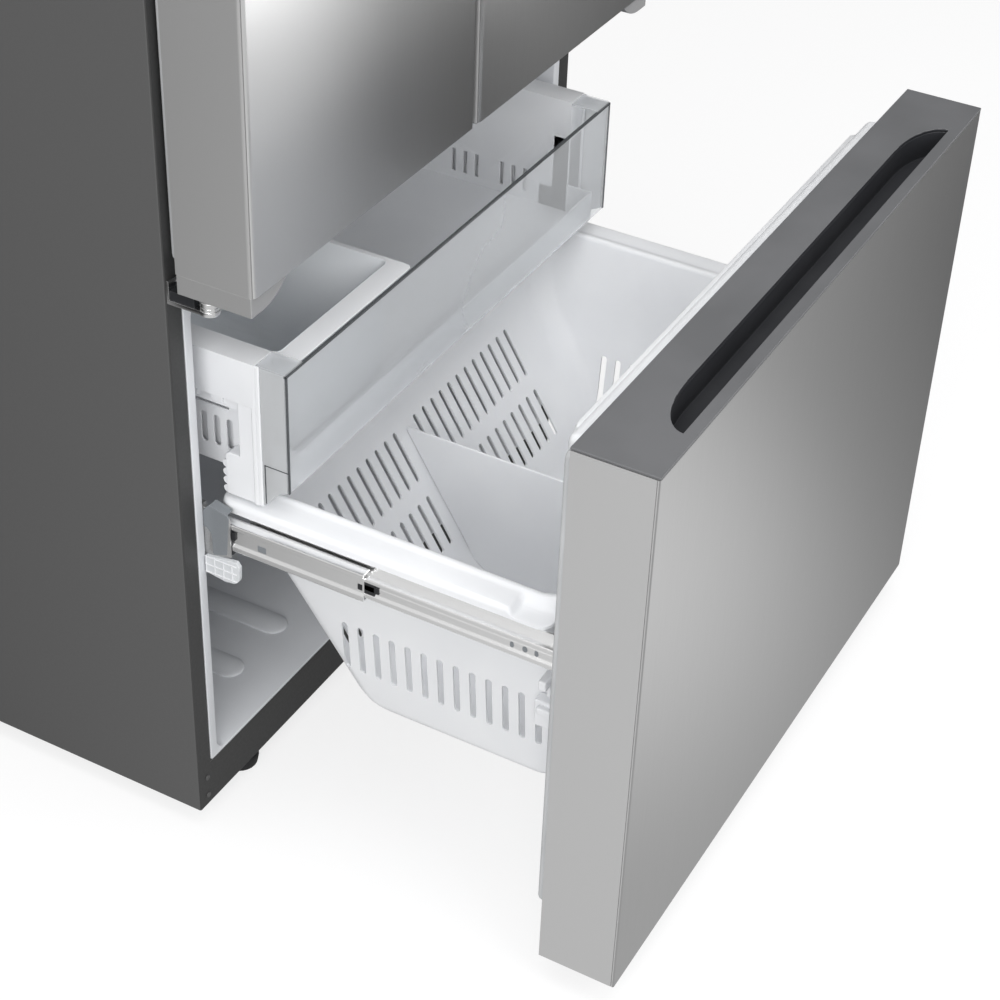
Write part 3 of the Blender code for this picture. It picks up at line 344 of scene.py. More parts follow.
def clear(name, tint, rough_low, rough_high, ior=1.49):
    """Clear moulded plastic or glass that bends light. Lamps shine through it."""
    surface = Surface(name, Transmission_Weight=1.0, IOR=ior)
    surface.colour(surface.noise(6.0, detail=1.0), [part * 0.985 for part in tint], tint)
    surface.vary_roughness(surface.noise(15.0, detail=2.0), rough_low, rough_high)
    shadow_rays = new_node(surface.tree, "LightPath").outputs["Is Shadow Ray"]
    surface.see_through(shadow_rays, [part * 0.96 for part in tint])
    return surface.material


def thin_clear(name, film, tint, share, rough_low=0.20, rough_high=0.22):
    """A thin clear wall: mostly see-through, with a pale film and a gloss."""
    surface = Surface(name)
    surface.colour(surface.noise(7.0, detail=1.0), [part * 0.99 for part in film], film)
    surface.vary_roughness(surface.noise(300.0, detail=1.0), rough_low, rough_high)
    surface.see_through(share, tint)
    return surface.material


MATERIALS = {
    "painted_steel": painted("painted_steel_look", 0.094, 0.104, 0.42, 0.50),
    "galvanised_steel": plated("galvanised_look", 0.46, 0.60, 0.34, 0.50),
    "brushed_steel": brushed("brushed_steel_look", 0.475, 0.495, 0.285, 0.295, "Z"),
    "zinc_steel": plated("zinc_look", 0.945, 0.96, 0.24, 0.27, "Y"),
    "white_plastic": moulded("white_plastic_look", (0.83, 0.84, 0.86), (0.865, 0.875, 0.89), 0.34, 0.44),
    "clear_plastic": thin_clear("clear_plastic_look", (0.86, 0.875, 0.89), (0.97, 0.975, 0.98), 0.69),
    "shelf_glass": clear("shelf_glass_look", (0.86, 0.93, 0.91), 0.01, 0.03, 1.52),
    "dark_plastic": moulded("dark_plastic_look", (0.120, 0.122, 0.127), (0.140, 0.142, 0.148), 0.42, 0.50),
    "grey_plastic": moulded("grey_plastic_look", (0.30, 0.30, 0.305), (0.33, 0.33, 0.335), 0.38, 0.46),
    "gasket_rubber": moulded("gasket_look", (0.50, 0.51, 0.52), (0.58, 0.59, 0.60), 0.55, 0.68),
    "foot_rubber": moulded("foot_rubber_look", (0.012, 0.012, 0.013), (0.022, 0.022, 0.024), 0.55, 0.75),
    "foam": moulded("foam_look", (0.70, 0.62, 0.42), (0.84, 0.76, 0.56), 0.8, 0.95, 260.0, 0.0006),
    "black_enamel": moulded("black_enamel_look", (0.010, 0.010, 0.011), (0.018, 0.018, 0.020), 0.22, 0.32),
    "aluminium": plated("aluminium_look", 0.70, 0.80, 0.28, 0.38, "X"),
}
# A darker copy of the painted steel for the faces turned to the front: painted shade.
FLANGE_PAINTED_SHADE = painted("flange_painted_shade_look", 0.042, 0.047, 0.42, 0.50)
# A darker copy of the white plastic for the freezer liner: painted shade.
LINER_PAINTED_SHADE = moulded("liner_look", (0.72, 0.735, 0.76), (0.75, 0.765, 0.79), 0.34, 0.44)
# The left door's steel: a darker base than brushed_steel_look as painted shade, and a painted highlight
# fading from its left edge.
DOOR_STEEL_PAINTED_SHADE_AND_HIGHLIGHT = brushed("door_steel_painted_shade_and_highlight_look", 0.43, 0.445, 0.285, 0.295, "Z", painted_highlight=(-0.45, -0.16, 0.90))
SILVER_PAINT = painted("silver_paint_look", 0.45, 0.452, 0.360, 0.365, 0.55)
# The same silver paint as silver_paint_look, made lighter for the drawer's sides: painted light.
DRAWER_SIDE_PAINTED_LIGHT = painted("drawer_side_painted_light_look", 0.57, 0.572, 0.360, 0.365, 0.55)
# Grey paint for the rail brackets; also painted shade on the flat marks for the slides' window and stamped
# holes.
BRACKET_PAINT_AND_HOLE_SHADE = painted("bracket_paint_and_hole_shade_look", (0.20, 0.215, 0.23), (0.22, 0.235, 0.25), 0.38, 0.48)
HINGE_BRIGHT = plated("hinge_bright_look", 0.84, 0.90, 0.16, 0.24)
# A near-black copy of the dark plastic for the inside of the grip pocket: painted shade in the recess.
POCKET_PAINTED_SHADE = moulded("pocket_painted_shade_look", (0.026, 0.027, 0.031), (0.032, 0.033, 0.037), 0.40, 0.52)
# Black plastic for the rail plugs and slide clips; also painted shade on the block in the gap under each
# middle hinge and on the marks for the slides' holes.
BLACK_PLASTIC_AND_PAINTED_SHADE = moulded("black_plastic_and_painted_shade_look", (0.010, 0.011, 0.013), (0.016, 0.017, 0.020), 0.4, 0.5)
BIN_GREY = moulded("ice_bin_look", (0.83, 0.855, 0.88), (0.85, 0.875, 0.90), 0.35, 0.45)
# A dark film for the clear front's edges: painted shade, in place of the dark look of light bent in a clear
# edge.
CLEAR_EDGE_PAINTED_SHADE = thin_clear("clear_edge_painted_shade_look", (0.10, 0.105, 0.11), (0.70, 0.72, 0.74), 0.25)
CLEAR_WING = thin_clear("clear_wing_look", (0.66, 0.67, 0.68), (0.95, 0.96, 0.97), 0.40)
FROSTED = thin_clear("frosted_look", (0.80, 0.82, 0.84), (0.95, 0.96, 0.97), 0.20, 0.25, 0.35)


# ---------------------------------------------------------------- helpers

TURNS = {
    "X": Matrix.Rotation(math.pi / 2, 4, "Y"),
    "Y": Matrix.Rotation(math.pi / 2, 4, "X"),
    "Z": Matrix.Identity(4),
}


class Form:
    """Solids drawn in the cabinet's frame, gathered into one mesh."""

    def __init__(self):
        self.shape = bmesh.new()

    def block(self, low, high):
        made = bmesh.ops.create_cube(self.shape, size=1.0)["verts"]
        bmesh.ops.scale(self.shape, vec=Vector(high) - Vector(low), verts=made)
        bmesh.ops.translate(self.shape, vec=(Vector(high) + Vector(low)) / 2, verts=made)
        return self

    def side_block(self, side, low, high):
        """A block on one side, with its x places given as they are on the right."""
        x0, x1 = mirrored(low[0], high[0], side)
        return self.block((x0, *low[1:]), (x1, *high[1:]))

    def rod(self, centre, axis, radius, length, sides=32, end_radius=None):
        made = bmesh.ops.create_cone(
            self.shape,
            cap_ends=True,
            segments=sides,
            radius1=radius,
            radius2=radius if end_radius is None else end_radius,
            depth=length,
        )["verts"]
        bmesh.ops.transform(self.shape, matrix=TURNS[axis], verts=made)
        bmesh.ops.translate(self.shape, vec=centre, verts=made)
        return self

    def loft(self, rings, capped=True, closed=False):
        """A skin through rings of the same number of points."""
        made = [[self.shape.verts.new(point) for point in ring] for ring in rings]
        pairs = list(zip(made, made[1:]))
        if closed:
            pairs.append((made[-1], made[0]))
        for first, second in pairs:
            for here in range(len(first)):
                after = (here + 1) % len(first)
                self.shape.faces.new((first[here], first[after], second[after], second[here]))
        if capped and not closed:
            self.shape.faces.new(made[0])
            self.shape.faces.new(made[-1])
        return self

    def prism(self, outline, plane, start, end):
        """A flat outline drawn out along the axis that its plane leaves out."""
        rings = []
        for along in (start, end):
            if plane == "XY":
                rings.append([(u, v, along) for u, v in outline])
            elif plane == "XZ":
                rings.append([(u, along, v) for u, v in outline])
            else:
                rings.append([(along, u, v) for u, v in outline])
        return self.loft(rings)

    def mesh(self):
        bmesh.ops.remove_doubles(self.shape, verts=self.shape.verts, dist=1e-6)
        bmesh.ops.recalc_face_normals(self.shape, faces=self.shape.faces)
        mesh = bpy.data.meshes.new("form")
        self.shape.to_mesh(mesh)
        self.shape.free()
        mesh.transform(Matrix.Translation(ORIGIN))
        return mesh


def carved(mesh, *cutters):
    """The mesh without the cutters' solids."""
    for cutter in cutters:
        body = bpy.data.objects.new("body", mesh)
        tool = bpy.data.objects.new("tool", cutter.mesh())
        for item in (body, tool):
            bpy.context.scene.collection.objects.link(item)
        change = body.modifiers.new("cut", "BOOLEAN")
        change.operation = "DIFFERENCE"
        change.solver = "EXACT"
        change.object = tool
        graph = bpy.context.evaluated_depsgraph_get()
        mesh = bpy.data.meshes.new_from_object(body.evaluated_get(graph))
        for item in (body, tool):
            bpy.data.objects.remove(item, do_unlink=True)
    return mesh


def arc(centre, radius, first, last, steps=8):
    points = []
    for step in range(steps + 1):
        angle = math.radians(first + (last - first) * step / steps)
        points.append((centre[0] + radius * math.cos(angle), centre[1] + radius * math.sin(angle)))
    return points


def stadium(middle, low, high, width, steps=6):
    """A slot's outline with round ends, upright about middle."""
    radius = width / 2
    top = arc((middle, high - radius), radius, 0, 180, steps)
    bottom = arc((middle, low + radius), radius, 180, 360, steps)
    return top + bottom


def rounded(x0, x1, y0, y1, radius, steps=6, along=()):
    """A rectangle with round corners. Both of its x sides carry points at the places in along."""
    low, high = y0 + radius, y1 - radius
    extra = [min(max(place, low), high) for place in sorted(along)]
    points = arc((x0 + radius, y0 + radius), radius, 180, 270, steps)
    points += arc((x1 - radius, y0 + radius), radius, 270, 360, steps)
    points += [(x1, place) for place in extra]
    points += arc((x1 - radius, y1 - radius), radius, 0, 90, steps)
    points += arc((x0 + radius, y1 - radius), radius, 90, 180, steps)
    points += [(x0, place) for place in reversed(extra)]
    return points


def dressed(name, form, node, stands=True, material=None, edge=0.0, segments=2, angle=35):
    """A piece with the body and finish of a node, which it stands for unless stands is false."""
    mesh = form if isinstance(form, bpy.types.Mesh) else form.mesh()
    piece = bpy.data.objects.new(name, mesh)
    bpy.context.scene.collection.objects.link(piece)
    slot = NODE_SLOTS[node]
    if not mesh.materials or mesh.materials[0] is None:
        mesh.materials.clear()
        mesh.materials.append(material or MATERIALS[slot])
    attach(piece, frame["nodes"][node]["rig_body"])
    if stands:
        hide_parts(node)
    mesh.shade_smooth()
    if edge:
        bevel = piece.modifiers.new("round", "BEVEL")
        bevel.width = edge
        bevel.segments = segments
        bevel.limit_method = "ANGLE"
        bevel.angle_limit = math.radians(angle)
        bevel.harden_normals = True
    else:
        mesh.set_sharp_from_angle(angle=math.radians(angle))
    return piece


def second_finish(mesh, first, second, chosen):
    """Gives the mesh two finishes. The faces that chosen picks get the second."""
    mesh.materials.clear()
    mesh.materials.append(first)
    mesh.materials.append(second)
    for face in mesh.polygons:
        face.material_index = 1 if chosen(face) else 0


def node_mesh(node):
    """A CAD node's own shape with its flat faces merged."""
    mesh = frame["nodes"][node].data.copy()
    mesh.materials.clear()
    shape = bmesh.new()
    shape.from_mesh(mesh)
    bmesh.ops.remove_doubles(shape, verts=shape.verts, dist=1e-5)
    bmesh.ops.dissolve_limit(
        shape, angle_limit=math.radians(0.5), verts=shape.verts, edges=shape.edges
    )
    shape.to_mesh(mesh)
    shape.free()
    return mesh


DONE = set()  # nodes that already have a piece standing for them


def shown(name, form, node, **options):
    """Makes a drawn form the piece that stands for a node."""
    DONE.add(node)
    return dressed(name, form, node, **options)


def refined(node, width=0.0008, segments=2, material=None):
    """Stands for a CAD node with its own shape and rounded edges."""
    shown(node + "_look", node_mesh(node), node, material=material, edge=width, segments=segments)


def extra(name, form, node, **options):
    """Adds a drawn form beside the piece that stands for a node."""
    return dressed(name, form, node, stands=False, **options)


# ---------------------------------------------------------------- cabinet

FLANGE = 0.027
CAVITY_HALF = 0.412
RAIL_LOW, RAIL_HIGH = 0.7325, 0.7855


def make_cabinet():
    """The painted wrapper with softly rounded edges."""
    low, high = span("cabinet_shell")
    wall = 0.006
    inside = HALF - wall
    mouth = HALF - FLANGE
    hollow = Form().block((-inside, wall, -0.1), (inside, high.y + 0.1, high.z - wall))
    windows = Form()
    windows.block((-mouth, -0.1, 0.065), (mouth, 0.1, RAIL_LOW))
    windows.block((-mouth, -0.1, RAIL_HIGH), (mouth, 0.1, high.z - FLANGE))
    mesh = carved(Form().block(low, high).mesh(), hollow, windows)
    # The faces that look to the front get the darker copy of the paint: painted shade.
    second_finish(mesh, MATERIALS["painted_steel"], FLANGE_PAINTED_SHADE, lambda face: face.normal.y < -0.9)
    shown("cabinet_shell_look", mesh, "cabinet_shell", edge=0.0026, segments=3)
    screws = Form()
    for side in SIDES.values():
        for height in (0.016, 0.045):
            screws.rod((side * 0.437, -0.0004, height), "Y", 0.0036, 0.0022, 20)
    extra("flange_screws", screws, "cabinet_shell", edge=0.0006)


def upright_ring(half, z0, z1, radius, y, steps=6):
    """A rounded rectangle in the plane of the cabinet's front, at y."""
    return [(x, y, z) for x, z in rounded(-half, half, z0, z1, radius, steps)]


def liner_form(lip, room_high, sill, stations):
    """A liner: its lip, and its room from front to back. The stations are (y, floor height)."""
    lip_low, lip_high = lip
    wall = 0.003
    outside, inside = [], []
    for y, floor in reversed(stations):
        outside.append(
            upright_ring(CAVITY_HALF + wall, floor - wall, room_high + wall, 0.018, y + wall)
        )
    outside.append(upright_ring(CAVITY_HALF + wall, lip_low + 0.002, lip_high - 0.002, 0.016, wall))
    outside.append(upright_ring(0.4265, lip_low, lip_high, 0.004, wall))
    outside.append(upright_ring(0.4265, lip_low, lip_high, 0.004, 0.0008))
    outside.append(upright_ring(0.4257, lip_low + 0.0008, lip_high - 0.0008, 0.004, 0.0))
    inside.append(upright_ring(0.4150, sill - 0.003, room_high + 0.003, 0.018, 0.0))
    inside.append(upright_ring(0.4128, sill - 0.0008, room_high + 0.0008, 0.0175, 0.0009))
    inside.append(upright_ring(CAVITY_HALF, sill, room_high, 0.017, 0.003))
    for y, floor in stations:
        inside.append(upright_ring(CAVITY_HALF, floor, room_high, 0.015, y))
    return Form().loft(outside + inside)


def pad(form, x, y0, y1, z, width, height):
    """A long low boss with round ends on a floor."""
    rings = []
    for inset, rise in ((0.0, -0.001), (0.001, height * 0.55), (0.004, height)):
        outline = stadium(x, y0 + inset, y1 - inset, width - 2 * inset, 8)
        rings.append([(u, v, z + rise) for u, v in outline])
    form.loft(rings)


def make_liners():
    floor, top = 0.084, 0.713
    stations = [(0.045, floor), (0.400, floor), (0.465, 0.265), (0.655, 0.265)]
    form = liner_form((0.0655, 0.732), top, 0.0700, stations)
    for side in SIDES.values():
        form.side_block(side, (0.372, 0.131, 0.556), (CAVITY_HALF + 0.001, 0.560, 0.568))
        for place in (0.190, 0.290):
            pad(form, side * place, 0.048, 0.370, floor, 0.040, 0.0045)
    # The freezer liner gets the darker copy of the white plastic: painted shade.
    shown("freezer_liner_look", form, "freezer_liner", material=LINER_PAINTED_SHADE)
    stations = [(0.020, 0.800), (0.655, 0.800)]
    form = liner_form((0.786, 1.6875), 1.6725, 0.796, stations)
    for side in SIDES.values():
        for height in (1.290, 1.066):
            form.side_block(side, (0.4095, 0.150, height), (CAVITY_HALF + 0.001, 0.610, height + 0.008))
        for height in (0.93, 1.16, 1.40, 1.52):
            form.side_block(side, (0.4085, 0.120, height), (CAVITY_HALF + 0.001, 0.600, height + 0.006))
    shown("fridge_liner_look", form, "fridge_liner")


def make_back():
    """The back panel and the machine cover. Its ribs and screws end 0.1 mm under its outer face."""
    refined("back_panel", 0.0004)
    depth = SHELL_HIGH.y - ORIGIN.y
    ribs = Form()
    for place in (-0.30, -0.10, 0.10, 0.30):
        rings = []
        for inset, rise in ((0.0, -0.0012), (0.004, -0.0002), (0.007, -0.0001)):
            inner = stadium(place, 0.34 + inset, 1.58 - inset, 0.030 - 2 * inset, 8)
            rings.append([(u, depth + rise, v) for u, v in inner])
        ribs.loft(rings)
    extra("back_ribs", ribs, "back_panel")
    screws = Form()
    for side in SIDES.values():
        for height in (0.25, 0.60, 0.95, 1.30, 1.66):
            screws.rod((side * 0.434, depth - 0.0008, height), "Y", 0.0045, 0.0014, 20)
    extra("back_screws", screws, "back_panel", edge=0.0005)
    refined("machine_cover", 0.0005)


def make_foam():
    """The foam, clear of the freezer liner's sloping sill."""
    mesh = frame["nodes"]["insulation_foam"].data.copy()
    mesh.materials.clear()
    mesh.transform(Matrix.Translation(-ORIGIN))
    form = Form()
    form.shape.from_mesh(mesh)
    sill = Form().block((-0.4160, -0.1, 0.0600), (0.4160, 0.050, 0.0900))
    shown("insulation_foam_look", carved(form.mesh(), sill), "insulation_foam")


# ---------------------------------------------------------------- doors and hinges

DOOR_FRONT, DOOR_BACK = -0.111, -0.0145
DOOR_LOW, DOOR_HIGH = 0.777, 1.700
DOOR_ROUND = 0.007
PIN_X, PIN_Y = 0.4425, -0.048


def door_section(x0, x1, inset, seams=False):
    """A door from above. The skin's front corners carry a fine seam where the front is folded on."""
    front, radius = DOOR_FRONT + inset, DOOR_ROUND - inset
    left_centre = (x0 + inset + radius, front + radius)
    right_centre = (x1 - inset - radius, front + radius)
    left = arc(left_centre, radius, 180, 216, 6)
    right = arc(right_centre, radius, 324, 360, 6)
    if seams:
        left += arc(left_centre, radius - 0.0014, 218.5, 220.5, 1)
        right = arc(right_centre, radius - 0.0014, 319.5, 321.5, 1) + right
    left += arc(left_centre, radius, 223, 270, 10)
    right = arc(right_centre, radius, 270, 317, 10) + right
    return [(x0 + inset, DOOR_BACK)] + left + right + [(x1 - inset, DOOR_BACK)]


def make_door(side_name, side):
    x0, x1 = mirrored(0.0045, HALF - 0.0005, side)
    wall = 0.0020
    outer = door_section(x0, x1, 0.0, seams=True)
    inner = door_section(x0, x1, wall)
    outline = outer + list(reversed(inner))
    mesh = Form().prism(outline, "XY", DOOR_LOW, DOOR_HIGH).mesh()
    # The left door gets the steel with painted shade and a painted highlight; the right door gets the plain
    # brushed steel.
    second_finish(
        mesh,
        DOOR_STEEL_PAINTED_SHADE_AND_HIGHLIGHT if side < 0 else MATERIALS["brushed_steel"],
        SILVER_PAINT,
        lambda face: abs(face.normal.x) > 0.74 or abs(face.normal.z) > 0.9,
    )
    shown(side_name + "_door_skin_look", mesh, side_name + "_door_skin", edge=0.0, angle=24)
    refined(side_name + "_door_core", 0.0030, 3)

    low = span(side_name + "_door_bottom_cap")[0].z
    round_centre, radius = (0.434, low + 0.062), 0.062
    cap_low = 0.7745
    curve = [(side * x, z) for x, z in arc(round_centre, radius, -138.6, -90, 10)]
    outer_edge = side * (HALF - 0.0006)
    outline = [(side * 0.0058, DOOR_LOW), (side * 0.0058, cap_low)] + curve
    outline += [(outer_edge, low), (outer_edge, DOOR_LOW)]
    mesh = Form().prism(outline, "XZ", -0.1075, DOOR_BACK - 0.0005).mesh()
    second_finish(
        mesh, MATERIALS["grey_plastic"], SILVER_PAINT, lambda face: side * face.normal.x > 0.96
    )
    shown(
        side_name + "_door_bottom_cap_look", mesh, side_name + "_door_bottom_cap", edge=0.0009
    )
    refined(side_name + "_door_top_cap", 0.0015, 3)

    g0, g1 = mirrored(0.0085, 0.4485, side)
    make_gasket(side_name + "_door_gasket", g0, g1, DOOR_LOW + 0.001, DOOR_HIGH - 0.010, -0.0141, -0.0015)
    for level in ("upper", "lower"):
        node = f"{side_name}_door_bin_{level}"
        low, high = span(node)
        make_bin(node, low, high, 0.0025, 0.020, rim=0.004)


def make_gasket(node, x0, x1, z0, z1, y0, y1):
    """A soft gasket around a frame: a thin lip on y0, then a folded tube that touches at y1."""
    deep = y1 - y0
    profile = [
        (0.0006, 0.0), (0.0, 0.08), (0.0004, 0.20), (0.0062, 0.26), (0.0078, 0.40), (0.0060, 0.56),
        (0.0066, 0.86), (0.0082, 1.0), (0.0170, 1.0), (0.0186, 0.86), (0.0178, 0.66), (0.0194, 0.45),
        (0.0182, 0.20), (0.0186, 0.0),
    ]
    rings = []
    for inset, share in profile:
        ring = rounded(x0 + inset, x1 - inset, z0 + inset, z1 - inset, 0.006, 4)
        rings.append([(x, y0 + share * deep, z) for x, z in ring])
    shown(node + "_look", Form().loft(rings, closed=True), node, angle=50)


def make_bin(node, low, high, wall, radius, rim=0.003, taper=0.005, material=None):
    """An open-topped tub with round corners and a rolled rim."""
    def ring(inset, z, shrink=0.0):
        share = 1 - (z - low.z) / (high.z - low.z)
        gap = inset + shrink + taper * share
        size = max(radius - inset - shrink, 0.003)
        return [
            (x, y, z)
            for x, y in rounded(low.x + gap, high.x - gap, low.y + gap, high.y - gap, size, 6)
        ]

    bend = 0.014
    rings = []
    for angle in (0, 22, 45, 67, 90):
        turn = math.radians(angle)
        rings.append(ring(rim, low.z + bend * (1 - math.cos(turn)), bend * (1 - math.sin(turn))))
    rings.append(ring(rim, high.z - 0.007))
    rings.append(ring(0.0, high.z - 0.006))
    rings.append(ring(0.0, high.z - 0.001))
    rings.append(ring(0.001, high.z))
    rings.append(ring(rim + wall - 0.001, high.z))
    rings.append(ring(rim + wall, high.z - 0.001))
    for angle in (90, 67, 45, 22, 0):
        turn = math.radians(angle)
        inner = bend - wall
        rings.append(
            ring(rim + wall, low.z + wall + inner * (1 - math.cos(turn)), inner * (1 - math.sin(turn)))
        )
    shown(node + "_look", Form().loft(rings), node, material=material, angle=50)


def make_hinges(side_name, side):
    node = "middle_hinge_" + side_name
    refined(node, 0.0007, 2, material=HINGE_BRIGHT)
    # A black block in the gap under the hinge, where there is only shade: painted shade.
    gap_shade = Form().side_block(side, (0.4300, -0.0345, 0.7417), (0.4515, -0.0036, 0.7528))
    extra("hinge_gap_painted_shade_" + side_name, gap_shade, node, material=BLACK_PLASTIC_AND_PAINTED_SHADE, edge=0.0006)
    bush = Form()
    bush.rod((side * PIN_X, PIN_Y, 0.7495), "Z", 0.0112, 0.0062, 40)
    bush.rod((side * PIN_X, PIN_Y, 0.7440), "Z", 0.0108, 0.0044, 40)
    extra("hinge_bush_" + side_name, bush, node, material=HINGE_BRIGHT, edge=0.0008)
    refined("top_hinge_" + side_name, 0.0006)
    refined("hinge_cover_" + side_name, 0.0012, 2)


# ---------------------------------------------------------------- freezer drawer

SLAB_FRONT, SLAB_BACK = -0.571, -0.4745
SLAB_LOW, SLAB_HIGH = 0.0139, 0.7326
POCKET_HALF, POCKET_STRAIGHT = 0.375, 0.290
POCKET_FRONT, POCKET_DEPTH = SLAB_FRONT + 0.014, 0.036


def pocket_outline(grow=0.0):
    """The grip pocket from above: straight in front, with a quarter ellipse at each end."""
    front, deep = POCKET_FRONT - grow, POCKET_DEPTH + 2 * grow
    end = POCKET_HALF + grow - POCKET_STRAIGHT
    left = [
        (-POCKET_STRAIGHT + end * x, front + deep * y) for x, y in arc((0.0, 0.0), 1.0, 90, 180, 14)
    ]
    return [(-x, y) for x, y in reversed(left)] + left


def make_drawer_front():
    """The folded skin with a seam by each front corner, the grip cap with its pocket, and the core."""
    wall = 0.0020
    top = SLAB_HIGH - 0.0038
    round_off = 0.0022
    groove = [(0.0, 0.0036), (0.0009, 0.0034), (0.0009, 0.0027), (0.0, 0.0025)]  # inwards, back
    outer = [(-HALF, SLAB_BACK)] + [(-HALF + deep, SLAB_FRONT + back) for deep, back in groove]
    outer += arc((-HALF + round_off, SLAB_FRONT + round_off), round_off, 180, 270, 6)
    outer += arc((HALF - round_off, SLAB_FRONT + round_off), round_off, 270, 360, 6)
    outer += [(HALF - deep, SLAB_FRONT + back) for deep, back in reversed(groove)]
    outer += [(HALF, SLAB_BACK)]
    inner = [(-HALF + wall, SLAB_BACK), (-HALF + wall, SLAB_FRONT + wall)]
    inner += [(HALF - wall, SLAB_FRONT + wall), (HALF - wall, SLAB_BACK)]
    mesh = Form().prism(outer + list(reversed(inner)), "XY", SLAB_LOW, top).mesh()
    # The drawer's sides and ends get the lighter copy of the silver paint: painted light.
    second_finish(
        mesh,
        MATERIALS["brushed_steel"],
        DRAWER_SIDE_PAINTED_LIGHT,
        lambda face: abs(face.normal.x) > 0.96 or abs(face.normal.z) > 0.9,
    )
    shown("drawer_skin_look", mesh, "drawer_skin", angle=24)

    form = Form().block((-HALF + 0.0025, SLAB_FRONT + 0.0025, top - 0.060), (HALF - 0.0025, SLAB_BACK, top))
    form.block((-HALF, SLAB_FRONT, top + 0.0006), (HALF, SLAB_BACK + 0.0005, SLAB_HIGH))
    low = SLAB_HIGH - 0.036
    cap = carved(form.mesh(), Form().prism(pocket_outline(), "XY", low, SLAB_HIGH + 0.05))
    world_low = ORIGIN.z + low
    world_front = ORIGIN.y + POCKET_FRONT

    # The pocket's faces get the near-black copy: painted shade.
    def painted_shade_face(face):
        return (
            abs(face.center.x) < POCKET_HALF + 0.001
            and world_low - 0.001 < face.center.z < ORIGIN.z + SLAB_HIGH - 0.0005
            and world_front - 0.001 < face.center.y < world_front + POCKET_DEPTH + 0.001
        )

    second_finish(cap, MATERIALS["dark_plastic"], POCKET_PAINTED_SHADE, painted_shade_face)
    shown("drawer_handle_cap_look", cap, "drawer_handle_cap", edge=0.0010, segments=3)
    niches = Form()
    for side in SIDES.values():
        niches.side_block(side, (0.3930, SLAB_BACK - 0.034, 0.384), (0.4180, SLAB_BACK + 0.02, 0.4590))
    core = carved(node_mesh("drawer_core"), niches)
    shown("drawer_core_look", core, "drawer_core", edge=0.0030, segments=3)
    step = Form().block((-0.404, SLAB_BACK - 0.002, 0.4700), (0.404, SLAB_BACK + 0.030, 0.7060))
    extra("drawer_liner_step", step, "drawer_core", edge=0.0100, segments=5)
    refined("drawer_bottom_cap", 0.0010)
    make_gasket("drawer_gasket", -0.446, 0.446, 0.079, 0.718, SLAB_BACK, SLAB_BACK + 0.0130)


BASKET_FRONT = -0.432
BASKET_LOW, BASKET_TOP = 0.153, 0.4525
BASKET_BACK, BACK_LEAN, BACK_KINK = -0.019, 0.629, 0.3655  # the back wall leans below its kink
RIM_STEP = -0.386  # in front of this the rim lies lower
DIVIDER_X = -0.030
SLOT_PITCH = 0.0216


def back_wall_y(z):
    """The outer face of the basket's sloping back wall at a height."""
    return min(BASKET_BACK, BASKET_BACK + BACK_LEAN * (z - BACK_KINK))


def basket_ring(z, inset=0.0, out=0.0, radius=0.032, drop=0.0, back_bend=0.0):
    """The basket's wall at a height, moved in by inset, or out by a share of the rim's width."""
    share = (min(z, 0.450) - BASKET_LOW) / (0.450 - BASKET_LOW)
    half = 0.326 + 0.027 * share - inset + 0.042 * out
    front = BASKET_FRONT + 0.006 * (1 - share) + inset - 0.0004 * out
    back = back_wall_y(min(z, 0.450)) - inset - back_bend + 0.012 * out
    places = [RIM_STEP + step * 0.0022 for step in (-3, -2, -1, 0, 1, 2)]
    ring = []
    for x, y in rounded(-half, half, front, back, radius, 8, places):
        sink = min(max((RIM_STEP + 0.004 - y) / 0.009, 0.0), 1.0)
        sink = sink * sink * (3 - 2 * sink)
        ring.append((x, y, z - drop * sink))
    return ring


def basket_bottom_ring(step, wall):
    """A ring of the basket's bottom: a wide bend at the back and a small one at the sides."""
    bend, side_bend = 0.026 - wall, 0.013 - wall
    turn = math.radians(9 * step)
    rise = bend * (1 - math.cos(turn))
    left = max(side_bend - rise, 0.0)
    inset = wall + side_bend - math.sqrt(side_bend**2 - left**2)
    back_bend = bend * (1 - math.sin(turn))
    return basket_ring(BASKET_LOW + wall + rise, inset, 0.0, 0.030 - wall, 0.0, back_bend)


